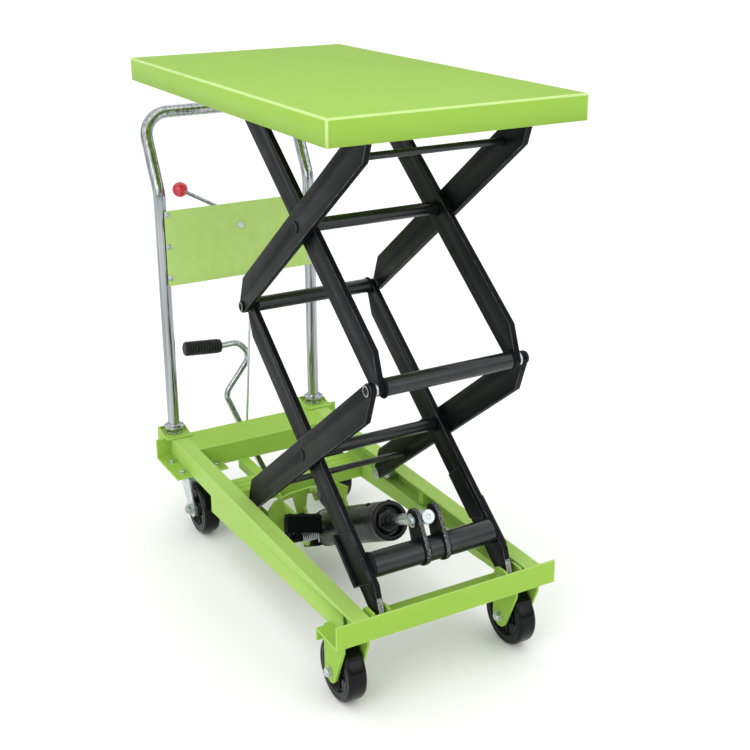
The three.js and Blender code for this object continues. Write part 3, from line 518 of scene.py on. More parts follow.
def plate(name, outer, holes, thickness, bevel=0.0008):
    """A flat plate in the XY plane, centred on it, from outlines in metres, with rounded edges."""
    curve = bpy.data.curves.new(name, "CURVE")
    curve.dimensions = "2D"
    curve.fill_mode = "BOTH"
    curve.extrude = thickness / 2 - bevel
    curve.bevel_depth = bevel
    curve.bevel_resolution = 2
    curve.offset = -bevel
    for points in (outer, *holes):
        spline = curve.splines.new("POLY")
        spline.points.add(len(points) - 1)
        for point, (a, b) in zip(spline.points, points):
            point.co = (a, b, 0, 1)
        spline.use_cyclic_u = True
    rough = bpy.data.objects.new(name, curve)
    bpy.context.collection.objects.link(rough)
    graph = bpy.context.evaluated_depsgraph_get()
    mesh = bpy.data.meshes.new_from_object(rough.evaluated_get(graph))
    bpy.data.objects.remove(rough)
    bm = bmesh.new()
    bm.from_mesh(mesh)
    bmesh.ops.remove_doubles(bm, verts=bm.verts, dist=0.000005)
    return object_from(bm, name, 50)


def circle(centre, radius, count=40, start=0.0, end=2 * math.pi):
    """Points of a circle or, with start and end angles, of an arc."""
    closed = abs(end - start - 2 * math.pi) < 1e-6
    steps = count if closed else count + 1
    out = []
    for i in range(steps):
        angle = start + (end - start) * i / count
        out.append((centre[0] + radius * math.cos(angle), centre[1] + radius * math.sin(angle)))
    return out


def upright_plate(obj, x, at=(0, 0)):
    """Turns a plate from XY into YZ, at a height x along the X axis."""
    turn = Matrix(((0, 0, 1), (1, 0, 0), (0, 1, 0))).to_4x4()
    obj.data.transform(Matrix.Translation((x, at[0], at[1])) @ turn)
    return obj


def cross_plate(obj, y, at=(0, 0)):
    """Turns a plate from XY into XZ, at y."""
    turn = Matrix(((1, 0, 0), (0, 0, -1), (0, 1, 0))).to_4x4()
    obj.data.transform(Matrix.Translation((at[0], y, at[1])) @ turn)
    return obj


def hex_head(name, at, axis, across, height, material, body, washer=None, stud=0.0, turn=0.2):
    """A hexagon nut or bolt head with chamfered corners, its washer and its thread's end."""
    bm = bmesh.new()
    axis = axis.normalized()
    side = Matrix.Rotation(turn, 3, axis) @ axis.orthogonal().normalized()
    radius = across / math.sqrt(3)
    rings = []
    for size, up in ((radius, 0.0), (radius, height * 0.82), (radius * 0.88, height)):
        ring = []
        for i in range(6):
            spoke = Matrix.Rotation(math.pi * i / 3, 3, axis) @ side
            ring.append(bm.verts.new(at + axis * up + spoke * size))
        rings.append(ring)
    skin(bm, rings, caps=True)
    obj = object_from(bm, name)
    soften(obj, height * 0.05, 2, 20)
    place(obj, material, body)
    if washer:
        profile = rounded(solid_rod(washer / MM, -1.6, 0.05), 0.4)
        turned(name + "_washer", profile, at, axis, material, body, segments=40)
    if stud:
        size = across * 0.3 / MM
        threads = [(0, height / MM - 0.5)]
        pitch = 1.25
        for i in range(max(2, int(stud / MM / pitch))):
            threads.append((size, height / MM - 0.5 + pitch * i))
            threads.append((size - 0.5, height / MM - 0.5 + pitch * (i + 0.5)))
        threads.append((size - 1.0, height / MM + stud / MM))
        threads.append((0, height / MM + stud / MM))
        turned(name + "_thread", threads, at, axis, material, body, segments=32)
    return obj


def weld(name, route, radius, body, seed, material=None):
    """A weld bead: overlapping ripples along a route."""
    dice = random.Random(seed)
    points = []
    sizes = []
    for first, second in zip(route, route[1:]):
        length = (second - first).length
        count = max(3, int(length / 0.0011))
        for i in range(count):
            t = i / count
            points.append(first.lerp(second, t))
            ripple = 0.86 + 0.16 * abs(math.sin(math.pi * len(points) / 3.2))
            sizes.append(radius * ripple * (1 + dice.uniform(-0.08, 0.08)))
    points.append(route[-1])
    sizes.append(radius * 0.5)
    sizes[0] = radius * 0.5
    return swept(name, points, radius, material or WELD, body, sides=10, radii=sizes)


# ---- camera, light and floor

CAMERA_AZIMUTH = math.radians(-29.1)
CAMERA_ELEVATION = math.radians(18.76)
CAMERA_ROLL = math.radians(-0.4)
CAMERA_DISTANCE = 2.576
CAMERA_AIM = Vector((0.1026, -0.0462, 0.0281))
CAMERA_LENS = 58.95
CAMERA_SHIFT = -0.0734


def make_camera():
    """The photo's camera, aimed from the CAD box's middle."""
    camera = bpy.data.objects.new("camera", bpy.data.cameras.new("camera"))
    bpy.context.collection.objects.link(camera)
    level = math.cos(CAMERA_ELEVATION)
    across = math.sin(CAMERA_AZIMUTH) * level
    back = Vector((across, -math.cos(CAMERA_AZIMUTH) * level, math.sin(CAMERA_ELEVATION)))
    aim = (cad_box[0] + cad_box[1]) / 2 + CAMERA_AIM
    upright = (-back).to_track_quat("-Z", "Y")
    roll = Matrix.Rotation(CAMERA_ROLL, 4, "Z")
    at = Matrix.Translation(aim + back * CAMERA_DISTANCE)
    camera.matrix_world = at @ upright.to_matrix().to_4x4() @ roll
    camera.data.lens = CAMERA_LENS
    camera.data.sensor_width = 36
    camera.data.shift_y = CAMERA_SHIFT
    camera.data.clip_start = 0.05
    camera.data.clip_end = 100
    bpy.context.scene.camera = camera


def area_light(name, at, towards, size, power):
    """A rectangular lamp aimed at a point."""
    data = bpy.data.lights.new(name, "AREA")
    data.shape = "RECTANGLE"
    data.size, data.size_y = size
    data.energy = power
    lamp = bpy.data.objects.new(name, data)
    lamp.location = at
    lamp.rotation_euler = (Vector(towards) - Vector(at)).to_track_quat("-Z", "Y").to_euler()
    bpy.context.collection.objects.link(lamp)


def make_world():
    """A white room seen overhead, with uneven grey walls that bright metal shows as streaks."""
    world = bpy.data.worlds.new("studio")
    n = Nodes(world, "Generated")
    split = n.add("ShaderNodeSeparateXYZ")
    n.link(n.place, split.inputs["Vector"])
    height = split.outputs["Z"]
    bearing = n.math("ARCTAN2", split.outputs["X"], split.outputs["Y"])
    walls = n.ramp(n.spread(bearing, -math.pi, math.pi), WALLS)
    ceiling = n.ramp(height, CEILING)
    rise = n.ramp(height, ((0.26, 0.0), (0.44, 1.0)))
    background = n.tree.nodes["Background"]
    n.link(n.mix(rise, walls, ceiling), background.inputs["Color"])
    background.inputs["Strength"].default_value = 1.0
    bpy.context.scene.world = world


# Brightness of the room: by bearing round the walls, and by height up to the ceiling.
WALLS = (
    (0.0, 0.42), (1.0, 0.42), (0.10, 0.75), (0.19, 0.95), (0.25, 1.1), (0.31, 0.85), (0.36, 0.55),
    (0.44, 0.65), (0.50, 0.30), (0.64, 0.22), (0.74, 0.50), (0.78, 0.85), (0.83, 0.35), (0.90, 0.55),
)
CEILING = ((0.0, 1.0), (1.0, 0.92), (0.42, 1.6), (0.75, 1.22))


def make_studio():
    """The room and three soft lamps: overhead, key at the left, fill at the front."""
    make_world()
    area_light("overhead", (-0.4, -0.3, 3.2), (0, 0, 0.6), (2.6, 2.6), 10)
    area_light("key", (-3.0, -2.0, 2.2), (0, 0, 0.6), (1.8, 2.2), 22)
    area_light("fill", (1.2, -3.6, 1.7), (0, 0, 0.5), (2.0, 2.0), 12)
    view = bpy.context.scene.view_settings
    view.view_transform = "Standard"
    view.look = "None"


def make_floor():
    """A pale seamless floor with a faint grain."""
    bm = bmesh.new()
    bmesh.ops.create_grid(bm, x_segments=2, y_segments=2, size=30)
    floor = object_from(bm, "floor")
    n = Finish("pale_floor")
    n.colour(n.mix(n.noise(3, 3.0), linear(250, 250, 250), linear(254, 254, 254)))
    n.roughness(n.spread(n.noise(12, 3.0), 0.3, 0.7, 0.75, 0.9))
    n.set(Specular_IOR_Level=0.15)
    floor.data.materials.append(n.material)


# ---- scissor arms

ARM_PLATE_EDGE = 0.0011


def arm_outline(reach, offset, half, chamfer):
    """An arm's outline along its own middle line, with its end pivots off that line."""
    tip = half - offset
    corner = Vector((reach - chamfer, -half))
    to_corner = corner - Vector((reach, offset))
    away = math.atan2(to_corner.y, to_corner.x) + math.acos(tip / to_corner.length)
    top_end = circle((reach, offset), tip, 16, away, math.pi / 2)
    outline = [tuple(corner), *top_end]
    return outline + [(-a, -b) for a, b in outline]


def arm(level, inner, side, centre, tip_pivot):
    """One flat bar with its three pin holes, turned to its rest slope."""
    kind = "inner" if inner else "outer"
    node = f"{level}_{kind}_arm_{SIDE_NAME[side]}"
    direction = 1 if inner else -1
    span = (tip_pivot - centre).length
    reach = math.sqrt(span**2 - ARM_OFFSET**2)
    slope = math.atan2(tip_pivot.z - centre.z, (tip_pivot.y - centre.y) * direction)
    tilt = slope - math.asin(ARM_OFFSET / span)
    outer = arm_outline(reach, ARM_OFFSET, ARM_HALF, ARM_CHAMFER)
    holes = [circle(at, PIN_HOLE) for at in ((0, 0), (reach, ARM_OFFSET), (-reach, -ARM_OFFSET))]
    outer, *holes = ([(direction * a, b) for a, b in ring] for ring in (outer, *holes))
    obj = plate("bar_" + node, outer, holes, ARM_THICK, ARM_PLATE_EDGE)
    obj.data.transform(Matrix.Rotation(direction * tilt, 4, "Z"))
    face = INNER_ARM_FACE if inner else OUTER_ARM_FACE
    upright_plate(obj, side * (face + ARM_THICK / 2), (centre.y, centre.z))
    painted_highlight_rim(obj)
    return place(obj, BLACK, BODY_OF[node], (node,))


def painted_highlight_rim(obj):
    """Gives an upright plate's rounded edges the grey edge black, a painted highlight."""
    obj.data.materials.append(BLACK)
    obj.data.materials.append(BLACK_EDGE_PAINTED_HIGHLIGHT)
    for face in obj.data.polygons:
        if 0.12 < abs(face.normal.x) < 0.97:
            face.material_index = 1


ARM_HALF = 0.029
ARM_OFFSET = 0.016
ARM_CHAMFER = 0.047
ARM_THICK = 0.012
PIN_HOLE = 0.0103
INNER_ARM_FACE = 0.134
OUTER_ARM_FACE = 0.150


def arm_tips(level):
    """The end pivots that a level's inner and outer arms are drawn to."""
    centre, front = pivot(f"{level}_cross"), pivot("middle_front")
    if level == "lower":
        return front + Y * 2 * (centre.y - front.y), front
    return centre + (centre - front), pivot("table_pivot")


# ---- table


DECK_FOLD = 0.0042


def table_deck():
    """The deck: one sheet folded down all round, with rounded folds painted paler as a highlight."""
    low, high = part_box("table_deck")
    bm = bmesh.new()
    bmesh.ops.create_cube(bm, size=1)
    for vert in bm.verts:
        vert.co = Vector([(high if part > 0 else low)[i] for i, part in enumerate(vert.co)])
    under = [face for face in bm.faces if face.normal.z < -0.9]
    bmesh.ops.delete(bm, geom=under, context="FACES_ONLY")
    folds = [edge for edge in bm.edges if len(edge.link_faces) == 2]
    # The fold faces take the second material, the painted highlight.
    bmesh.ops.bevel(bm, geom=folds, offset=0.0036, segments=5, profile=0.5, affect="EDGES", material=1)
    obj = object_from(bm, "deck_sheet", 50)
    obj.data.materials.append(GREEN)
    obj.data.materials.append(GREEN_FOLD_PAINTED_HIGHLIGHT)
    sheet = obj.modifiers.new("sheet", "SOLIDIFY")
    sheet.thickness = 0.003
    sheet.offset = -1
    apply_modifiers(obj)
    place(obj, GREEN, "table", ("table_deck",))
    for side in (-1, 1):
        for end in (low.y, high.y):
            inward = 1 if end == low.y else -1
            corner = Vector((side * (high.x - DECK_FOLD), end + inward * DECK_FOLD, 0))
            top, bottom = corner + Z * (high.z - 0.006), corner + Z * (low.z + 0.002)
            weld(f"deck_corner_{side}_{inward}", [top, bottom], 0.0012, "table", 7, GREEN)


# ---- scissors


def doubling_plate(name, side, inside, thick, outline):
    """A plate welded along a lower inner arm; the outline is along and across the arm."""
    centre = pivot("lower_cross")
    obj = plate(f"{name}_{side}", outline, [], thick, 0.0007)
    obj.data.transform(Matrix.Rotation(inner_slope(), 4, "Z"))
    upright_plate(obj, side * (inside + thick / 2), (centre.y, centre.z))
    painted_highlight_rim(obj)
    place(obj, BLACK, "lower_inner")


def stiffeners(side):
    """The doubling plates and the flange on a lower inner arm, with their welds."""
    for name, inside, thick, outline in DOUBLERS:
        doubling_plate(name, side, inside, thick, outline)
    centre = pivot("lower_cross")
    turn = Matrix.Rotation(inner_slope(), 3, "X")
    for i, (x, ends) in enumerate(DOUBLER_WELDS):
        route = [centre_line(centre, turn, Vector((side * x, a, b))) for a, b in ends]
        weld(f"doubler_bead_{i}_{side}", route, 0.0016, "lower_inner", 21 + side + i, BLACK)


# Name, inner face and thickness, and the corners along and across the arm.
DOUBLERS = (
    (
        "outer_doubler", 0.1455, 0.0035,
        ((-0.272, -0.0278), (-0.165, -0.0278), (-0.186, 0.0278), (-0.293, 0.0278)),
    ),
    (
        "inner_doubler", 0.131, 0.0035,
        ((-0.205, -0.0278), (-0.104, -0.0278), (-0.113, 0.020), (-0.228, 0.020)),
    ),
    (
        "arm_flange", 0.1435, 0.0125,
        ((-0.272, -0.033), (-0.165, -0.033), (-0.165, -0.025), (-0.272, -0.025)),
    ),
)
# Distance from the middle plane, and the bead's ends along and across the arm.
DOUBLER_WELDS = (
    (0.1462, ((-0.294, 0.0265), (-0.2735, -0.0235))),
    (0.1462, ((-0.185, 0.0265), (-0.1642, -0.0265))),
    (0.1505, ((-0.268, -0.0243), (-0.169, -0.0243))),
    (0.1338, ((-0.112, 0.0195), (-0.1032, -0.026))),
    (0.1338, ((-0.228, 0.0195), (-0.206, -0.026))),
)


def centre_line(centre, turn, point):
    """A point given along and across an arm, in the row's frame."""
    moved = turn @ Vector((0, point.y, point.z))
    return Vector((point.x, centre.y + moved.y, centre.z + moved.z))


def inner_slope():
    """How steeply an inner arm's own middle line rises at rest."""
    centre, tip = pivot("lower_cross"), pivot("lift")
    span = (centre - tip).length
    return math.atan2(centre.z - tip.z, centre.y - tip.y) - math.asin(ARM_OFFSET / span)


def chamfer_bead(level, side):
    """Bare weld along the chamfered front edge of an inner arm's lower end."""
    centre = pivot(f"{level}_cross")
    x = side * (INNER_ARM_FACE + ARM_THICK / 2)
    span = (centre - pivot("lift" if level == "lower" else "middle_front")).length
    reach = math.sqrt(span**2 - ARM_OFFSET**2)
    turn = Matrix.Rotation(inner_slope(), 3, "X")
    ends = ((-reach - 0.0125, -ARM_OFFSET + 0.007), (-reach + 0.029, ARM_HALF - 0.0135))
    metal = WELD if level == "lower" else BLACK
    for i, shift in enumerate((-0.0035, 0.0, 0.0035)):
        route = [centre_line(centre, turn, Vector((x + shift, a, b))) for a, b in ends]
        weld(f"end_bead_{level}_{SIDE_NAME[side]}_{i}", route, 0.0024, f"{level}_inner", 31 + i, metal)


def cross_tube(node, radius, body, bright=False):
    """A cross tube with its pins, spacers and peened pin ends."""
    _, high, centre = extent(node)
    shoulder = INNER_ARM_FACE / MM - 0.3
    end = high.x / MM
    face = (OUTER_ARM_FACE + ARM_THICK) / MM
    tube = rounded(solid_rod(radius, -shoulder, shoulder), 0.8)
    turned("tube_" + node, tube, centre, X, BLACK_TUBE, body, (node,))
    for side in (-1, 1):
        label = f"{node}_{SIDE_NAME[side]}"
        axis = X * side
        pin = solid_rod(10, shoulder - 1, face + 0.1)
        turned("pin_" + label, pin, centre, axis, ZINC, body, segments=32)
        spacer = flat_ring(10.05, 12.8, 146.4, 149.6)
        turned("spacer_" + label, spacer, centre, axis, ZINC, body, segments=40)
        head = [(0, face + 0.1), (11.4, face + 0.1), (11.4, end - 0.5), (10.6, end), (7.6, end)]
        head += [(6.8, end - 0.5), (2.4, end - 0.6), (1.6, end - 1.0), (0, end - 1.1)]
        turned("head_" + label, rounded(head, 0.4), centre, axis, BLACK, body, segments=56)
        if bright:
            ring = [(7.4, end - 0.5), (10.9, end - 0.5), (10.5, end + 0.04), (7.8, end + 0.04)]
            ring.append(ring[0])
            turned("rim_" + label, rounded(ring, 0.2), centre, axis, WELD, body, segments=56)
        ring_weld("weld_" + label, centre + axis * (shoulder - 1.5) * MM, axis, radius * MM, 0.0032, body)


def ring_weld(name, centre, axis, radius, size, body):
    """A painted weld bead round a tube."""
    across = axis.orthogonal().normalized()
    spokes = [Matrix.Rotation(2 * math.pi * i / 24, 3, axis) @ across for i in range(25)]
    weld(name, [centre + spoke * radius for spoke in spokes], size, body, len(name), BLACK)


def tie_rod(node, body):
    """A thin round bar welded between the outer arms."""
    _, high, centre = extent(node)
    half = high.x / MM
    profile = rounded(solid_rod(6.5, -half, half), 0.8)
    turned("rod_" + node, profile, centre, X, BLACK_TUBE, body, (node,), 40)
    for side in (-1, 1):
        ring_weld(f"weld_{node}_{side}", centre + X * side * (half - 1.2) * MM, X, 0.0068, 0.0022, body)


def lift_tube():
    """The thick tube that the ram lifts, and its two flame-cut lugs."""
    low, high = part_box("lift_tube")
    clevis = pivot("rod_pivot")
    centre = Vector((0, low.y + LUG_BACK, low.z + LUG_BACK))
    half = high.x / MM
    profile = rounded(solid_rod(24, -half, half), 1.2)
    turned("tube_lift", profile, centre, X, BLACK_TUBE, "lower_inner", ("lift_tube",), 72)
    for side in (-1, 1):
        at = centre + X * side * (half - 2) * MM
        ring_weld(f"weld_lift_{side}", at, X, 0.0242, 0.0016, "lower_inner")
    away = clevis - centre
    lean = math.atan2(away.z, away.y)
    top = circle((away.y, away.z), 0.022, 20, lean - math.pi / 2, lean + math.pi / 2)
    bottom = circle((0, 0), LUG_BACK, 20, lean + math.pi / 2, lean + 1.5 * math.pi)
    hole = circle((away.y, away.z), PIN_HOLE)
    for side in (-1, 1):
        obj = plate(f"lug_{side}", top + bottom, [hole], 0.009, 0.0009)
        upright_plate(obj, side * LUG_X, (centre.y, centre.z))
        place(obj, BLACK, "lower_inner")
        rough_rim(obj)
        for face in (-1, 1):
            at = Vector((side * LUG_X + face * 0.005, centre.y, centre.z))
            ring_weld(f"lug_weld_{side}_{face}", at, X, 0.0248, 0.0026, "lower_inner")


LUG_BACK = 0.028
LUG_X = 0.0215


def rough_rim(obj):
    """Gives a plate's cut rim the bare, pitted finish."""
    obj.data.materials.append(CUT_STEEL)
    for face in obj.data.polygons:
        if abs(face.normal.x) < 0.35:
            face.material_index = 1


def clevis_pin():
    """The pin through the lugs, with a groove at its end and a clip on each side."""
    _, high, centre = extent("clevis_pin")
    half = high.x / MM
    profile = [(0, -half), (8.8, -half), (10, -half + 1.2), (10, half - 5), (9, half - 5), (9, half - 3)]
    profile += [(10, half - 3), (10, half - 1), (9, half), (0, half)]
    turned("pin_clevis", rounded(profile, 0.4), centre, X, ZINC, "lower_inner", ("clevis_pin",), 48)
    clip = flat_ring(10.1, 13.5, half - 4.6, half - 3.4)
    for side in (-1, 1):
        turned(f"clevis_clip_{side}", clip, centre, X * side, ZINC, "lower_inner", segments=40)


def roller(node, body):
    """A steel roller with its turned stub axle."""
    low, high, centre = extent(node)
    side = 1 if centre.x > 0 else -1
    out = side * (high.x if side > 0 else low.x) / MM
    back = side * (low.x if side > 0 else high.x) / MM
    centre.x = 0
    face = out - 24
    profile = [(0, out), (6, out), (7, out - 1.5), (11, out - 1.5), (12, out), (17.4, out), (18.5, out - 1.2)]
    profile += [(18.5, face + 1.2), (17.4, face), (13, face), (10, face - 3), (10, back + 4), (13, back + 4)]
    profile += [(13, back), (0, back)]
    turned("turned_" + node, rounded(profile, 0.4), centre, X * side, ZINC, body, (node,), 56)


# ---- ram and pump


def ram():
    """The hydraulic cylinder: barrel, nut in its recess, plugs, tail and trunnion; and the rod."""
    seat, clevis = ram_ends()
    axis = (clevis - seat).normalized()
    length = (clevis - seat).length / MM
    end, wall = BARREL_END, BARREL_RADIUS
    barrel = [(0, 20), (wall - 1.6, 20), (wall, 21.6), (wall, end - 20), (wall - 0.8, end - 19)]
    barrel += [(wall - 0.8, end - 18), (wall, end - 17), (wall, end - 2.4), (wall - 2.2, end)]
    barrel += [(32.4, end), (30.6, end - 1.8), (29.2, end - 15.6), (0, end - 15.6)]
    turned("barrel", rounded(barrel, 1.0), seat, axis, RAM_BLACK, "cylinder", ("cylinder",), 112)
    bead = [(39.9, 21), (40.9, 23.4), (40.9, 28.6), (39.9, 31), (39, 26), (39.9, 21)]
    turned("barrel_bead", bead, seat, axis, PUMP_BLACK, "cylinder", segments=96)
    nut = seat + axis * (end - 15.8) * MM
    hex_head("gland_nut", nut, axis, 0.046, 0.0105, RAM_BLACK, "cylinder", turn=0.5)
    wiper = [(11.3, end - 6), (16.6, end - 6), (16.6, end - 4), (15.4, end - 2.6), (12.4, end - 2.6)]
    wiper += [(11.3, end - 3.6), (11.3, end - 6)]
    turned("gland_collar", rounded(wiper, 0.5), seat, axis, RAM_BLACK, "cylinder", segments=64)
    for i, (along, turn) in enumerate(((end - 62, 0.30), (end - 22, -0.42))):
        up = Matrix.Rotation(turn, 3, axis) @ X.cross(axis).normalized()
        up = up if up.z > 0 else -up
        at = seat + axis * along * MM + up * 0.0395
        hex_head(f"barrel_plug_{i}", at, up, 0.009, 0.0035, RAM_BLACK, "cylinder")
    tail_block(seat, axis)
    rod = solid_rod(11, 205, length - 18)
    turned("ram_rod", rod, seat, axis, ROD_CHROME, "piston_rod", ("piston_rod",), 56)
    rod_end(seat, axis, length)


# Millimetres: the barrel's front rim from the trunnion, and its outer radius.
BARREL_END = 336
BARREL_RADIUS = 40


def ram_ends():
    """The ram's rear trunnion and its clevis, from the joints."""
    clevis = pivot("rod_pivot")
    slide = Vector(JOINTS["rod_stroke"]["axis"])
    return clevis + slide * RAM_LENGTH, clevis


# Metres from the trunnion to the clevis at rest.
RAM_LENGTH = 0.48014


def tail_block(seat, axis):
    """The cast tail of the ram, with its trunnion."""
    slope = math.atan2(axis.z, -axis.y)
    outline = [(0.052, -0.034), (-0.021, -0.034), (-0.021, 0.034), (0.03, 0.034), (0.052, 0.018)]
    obj = plate("tail_casting", outline, [], 0.072, 0.003)
    obj.data.transform(Matrix.Rotation(-slope, 4, "Z"))
    upright_plate(obj, 0, (seat.y, seat.z))
    place(obj, PUMP_BLACK, "cylinder")
    trunnion = [(0, -54), (6.2, -54), (7, -53.2), (7, 53.2), (6.2, 54), (0, 54)]
    turned("trunnion", trunnion, seat, X, ZINC, "cylinder", segments=40)


def rod_end(seat, axis, length):
    """The threaded sleeve on the rod's end, with its bright turned face."""
    sleeve = [(0, length - 18), (13, length - 18), (14, length - 17)]
    for i in range(7):
        at = length - 15 + i * 1.6
        sleeve += [(14, at), (13.3, at + 0.8)]
    sleeve += [(14, length - 3.5), (14, length + 14.8), (12.8, length + 16), (5, length + 16)]
    sleeve += [(3.5, length + 14.2), (0, length + 14)]
    turned("rod_sleeve", sleeve, seat, axis, ZINC, "piston_rod", segments=64)


def pump():
    """Pump block behind its slanted cover, the plunger, a pipe union and its pipe."""
    refined("pump_block", PUMP_BLACK, 0.0012, 3)
    refined("pump_plunger", ZINC, 0.0008)
    union = Vector((-0.0365, -0.0130, 0.2085))
    lower = Vector((-0.0085, -0.0130, 0.1610))
    hex_head("pipe_union", union, (lower - union), 0.013, 0.012, GREEN, "frame")
    swept("pump_pipe", [union, lower], 0.0042, ZINC, "frame", (), 20)
    clip = plate("pipe_clip", [(-0.005, -0.024), (0.005, -0.024), (0.005, 0.024), (-0.005, 0.024)], [], 0.002)
    clip.data.transform(Matrix.Rotation(math.atan2(0.028, 0.0475), 4, "Z"))
    cross_plate(clip, -0.0165, (-0.0195, 0.1865))
    place(clip, ZINC, "frame")


def pedal_spring():
    """A torsion spring wound on the pedal's hub, with its two legs."""
    low, high, centre = extent("pedal_spring")
    wire = 0.0011
    coil = (high.z - low.z) / 2 - wire
    turns = 8.5
    steps = int(turns * 28)
    route = []
    for i in range(steps + 1):
        angle = 2 * math.pi * turns * i / steps
        x = low.x + wire + (high.x - low.x - 2 * wire) * i / steps
        route.append(Vector((x, centre.y + coil * math.cos(angle), centre.z + coil * math.sin(angle))))
    first, last = route[0], route[-1]
    route.insert(0, first - Z * 0.018)
    route.append(last + (last - route[-2]).normalized() * 0.016)
    swept("spring_coil", route, wire, ZINC, "frame", ("pedal_spring",), 12)


# ---- controls


def pedal():
    """The pedal's hub and tongue, and its chromed bar bent up behind the frame."""
    hinge = pivot("pedal")
    corners = [Vector(point) * MM + Y * hinge.y for point in PEDAL_BAR]
    swept("pedal_bar", bar_route(corners, 0.030, 14), 0.0075, CHROME, "pedal", ("pedal_lever",), 36)
    hub = [(5.4, 43.2), (8, 43.2), (8.5, 43.8), (8.5, 101.2), (8, 101.8), (5.4, 101.8), (5.4, 43.2)]
    turned("pedal_hub", rounded(hub, 0.3), hinge, -X, BLACK, "pedal", segments=48)
    outline = [(-0.0058, 0.002), (0.0028, 0.002), (0.0028, 0.0328), (-0.0058, 0.0328)]
    tongue = plate("pedal_tongue", outline, [], 0.0138, 0.0008)
    upright_plate(tongue, -0.090, (hinge.y, hinge.z))
    place(tongue, BLACK, "pedal")
    for i, x in enumerate((-0.1005, -0.0830)):
        ring_weld(f"hub_weld_{i}", Vector((x, hinge.y, hinge.z)), X, 0.0085, 0.0014, "pedal")


# Corner points of the bar in millimetres: across, behind the hinge, up.
PEDAL_BAR = (
    (-92, 4, 112), (-92, 205, 98), (-20, 280, 104), (8, 486, 138), (-34, 514, 255),
    (38, 516, 345), (6, 516, 384), (-37, 515, 383.7), (-126, 515, 391.3),
)


def grip():
    """Ribbed rubber sleeve: twelve rolled ribs between two end collars."""
    low, high, centre = extent("pedal_grip")
    lift = Z * 0.004
    start = Vector((high.x - 0.0015, centre.y, centre.z)) - lift
    end = Vector((low.x + 0.0015, centre.y, centre.z)) + lift
    axis = (end - start).normalized()
    length = (end - start).length / MM
    profile = [(7.8, 0), (14.5, 0), (16.5, 1.6), (16.5, 4)]
    ribs = 12
    pitch = (length - 9) / ribs
    for i in range(ribs):
        at = 4.5 + pitch * i
        profile += [(13.0, at + 0.6), (13.0, at + pitch * 0.34), (17.8, at + pitch * 0.46)]
        profile += [(17.8, at + pitch * 0.84), (13.0, at + pitch * 0.96)]
    profile += [(16.5, length - 3.6), (16.5, length - 1.8), (14, length), (0, length)]
    turned("grip_sleeve", rounded(profile, 0.5, 2), start, axis, GRIP, "pedal", ("pedal_grip",), 64)


def handle():
    """The bent push tube, with the nuts and brackets at its feet."""
    low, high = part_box("handle_tube")
    radius = 0.014
    post = high.x - radius
    bend_z = 0.790
    half = [(low.y + radius, low.z), (low.y + radius, bend_z), (high.y - radius, high.z - radius)]
    corners = [Vector((-post, y, z)) for y, z in half] + [Vector((post, y, z)) for y, z in reversed(half)]
    route = bar_route(corners, 0.062, 16)
    swept("push_tube", route, radius, CHROME, "frame", ("handle_tube",), 40)
    for name, _ in SIDES:
        collar(f"post_collar_{name}")
        refined(f"post_bracket_{name}", GREEN, 0.0012, 3)


def collar(node):
    """A chromed flange nut at a post's foot: a body, a wide flange and a coned top."""
    low, _, base = extent(node)
    base.z = low.z
    profile = [(14.1, 0.1), (18.9, 0.1), (18.9, 2.2), (17.9, 3.2), (18.9, 4.2), (18.9, 10.4), (22.9, 11.8)]
    profile += [(22.9, 14.4), (22.2, 15.1), (22.9, 15.8), (22.9, 18.0), (18.0, 19.8), (17.6, 21.2)]
    profile += [(16.0, 23.6), (14.1, 23.9), (14.1, 0.1)]
    turned("ring_" + node, rounded(profile, 0.6), base, Z, CHROME, "frame", (node,), 80)


def panel():
    """The sheet across the posts, with its round corners, its screws and the lever's bolt."""
    low, high, middle = extent("handle_panel")
    corner = 0.004
    outline = []
    for sx, sz in ((-1, -1), (1, -1), (1, 1), (-1, 1)):
        centre = (sx * (high.x - corner), middle.z + sz * ((high.z - low.z) / 2 - corner))
        start = math.atan2(sz, sx) - math.pi / 4
        outline += circle(centre, corner, 6, start, start + math.pi / 2)
    obj = plate("panel_sheet", outline, [circle((0, pivot("release_lever").z), 0.0052)], 0.002, 0.0005)
    cross_plate(obj, low.y + 0.001)
    # The panel takes a paler green, painted light.
    place(obj, GREEN_PANEL_PAINTED_LIGHT, "frame", ("handle_panel",))
    for side in (-1, 1):
        for i, up in enumerate((0.0085, 0.0835, 0.1575)):
            at = Vector((side * 0.1775, low.y, high.z - up))
            screw(f"panel_screw_{side}_{i}", at, -Y, 0.0052)
    hinge = Vector((0, low.y, pivot("release_lever").z))
    hex_head("lever_bolt", hinge, -Y, 0.013, 0.0055, ZINC, "frame", washer=0.0085)
    shank = [(0, -0.5), (5, -0.5), (5, 19.2), (4, 20), (0, 20)]
    turned("lever_shank", shank, hinge, Y, ZINC, "frame", segments=32)


def screw(name, at, axis, radius):
    """A domed screw head with a cross recess and a washer."""
    r = radius / MM
    profile = [(0, -0.6), (r * 1.35, -0.6), (r * 1.35, 0.35), (r * 1.02, 0.45), (r, 1.2), (r * 0.86, 2.2)]
    profile += [(r * 0.5, 2.9), (r * 0.28, 2.95), (r * 0.2, 1.9), (0, 1.8)]
    turned(name, profile, at, axis, ZINC, "frame", segments=32)


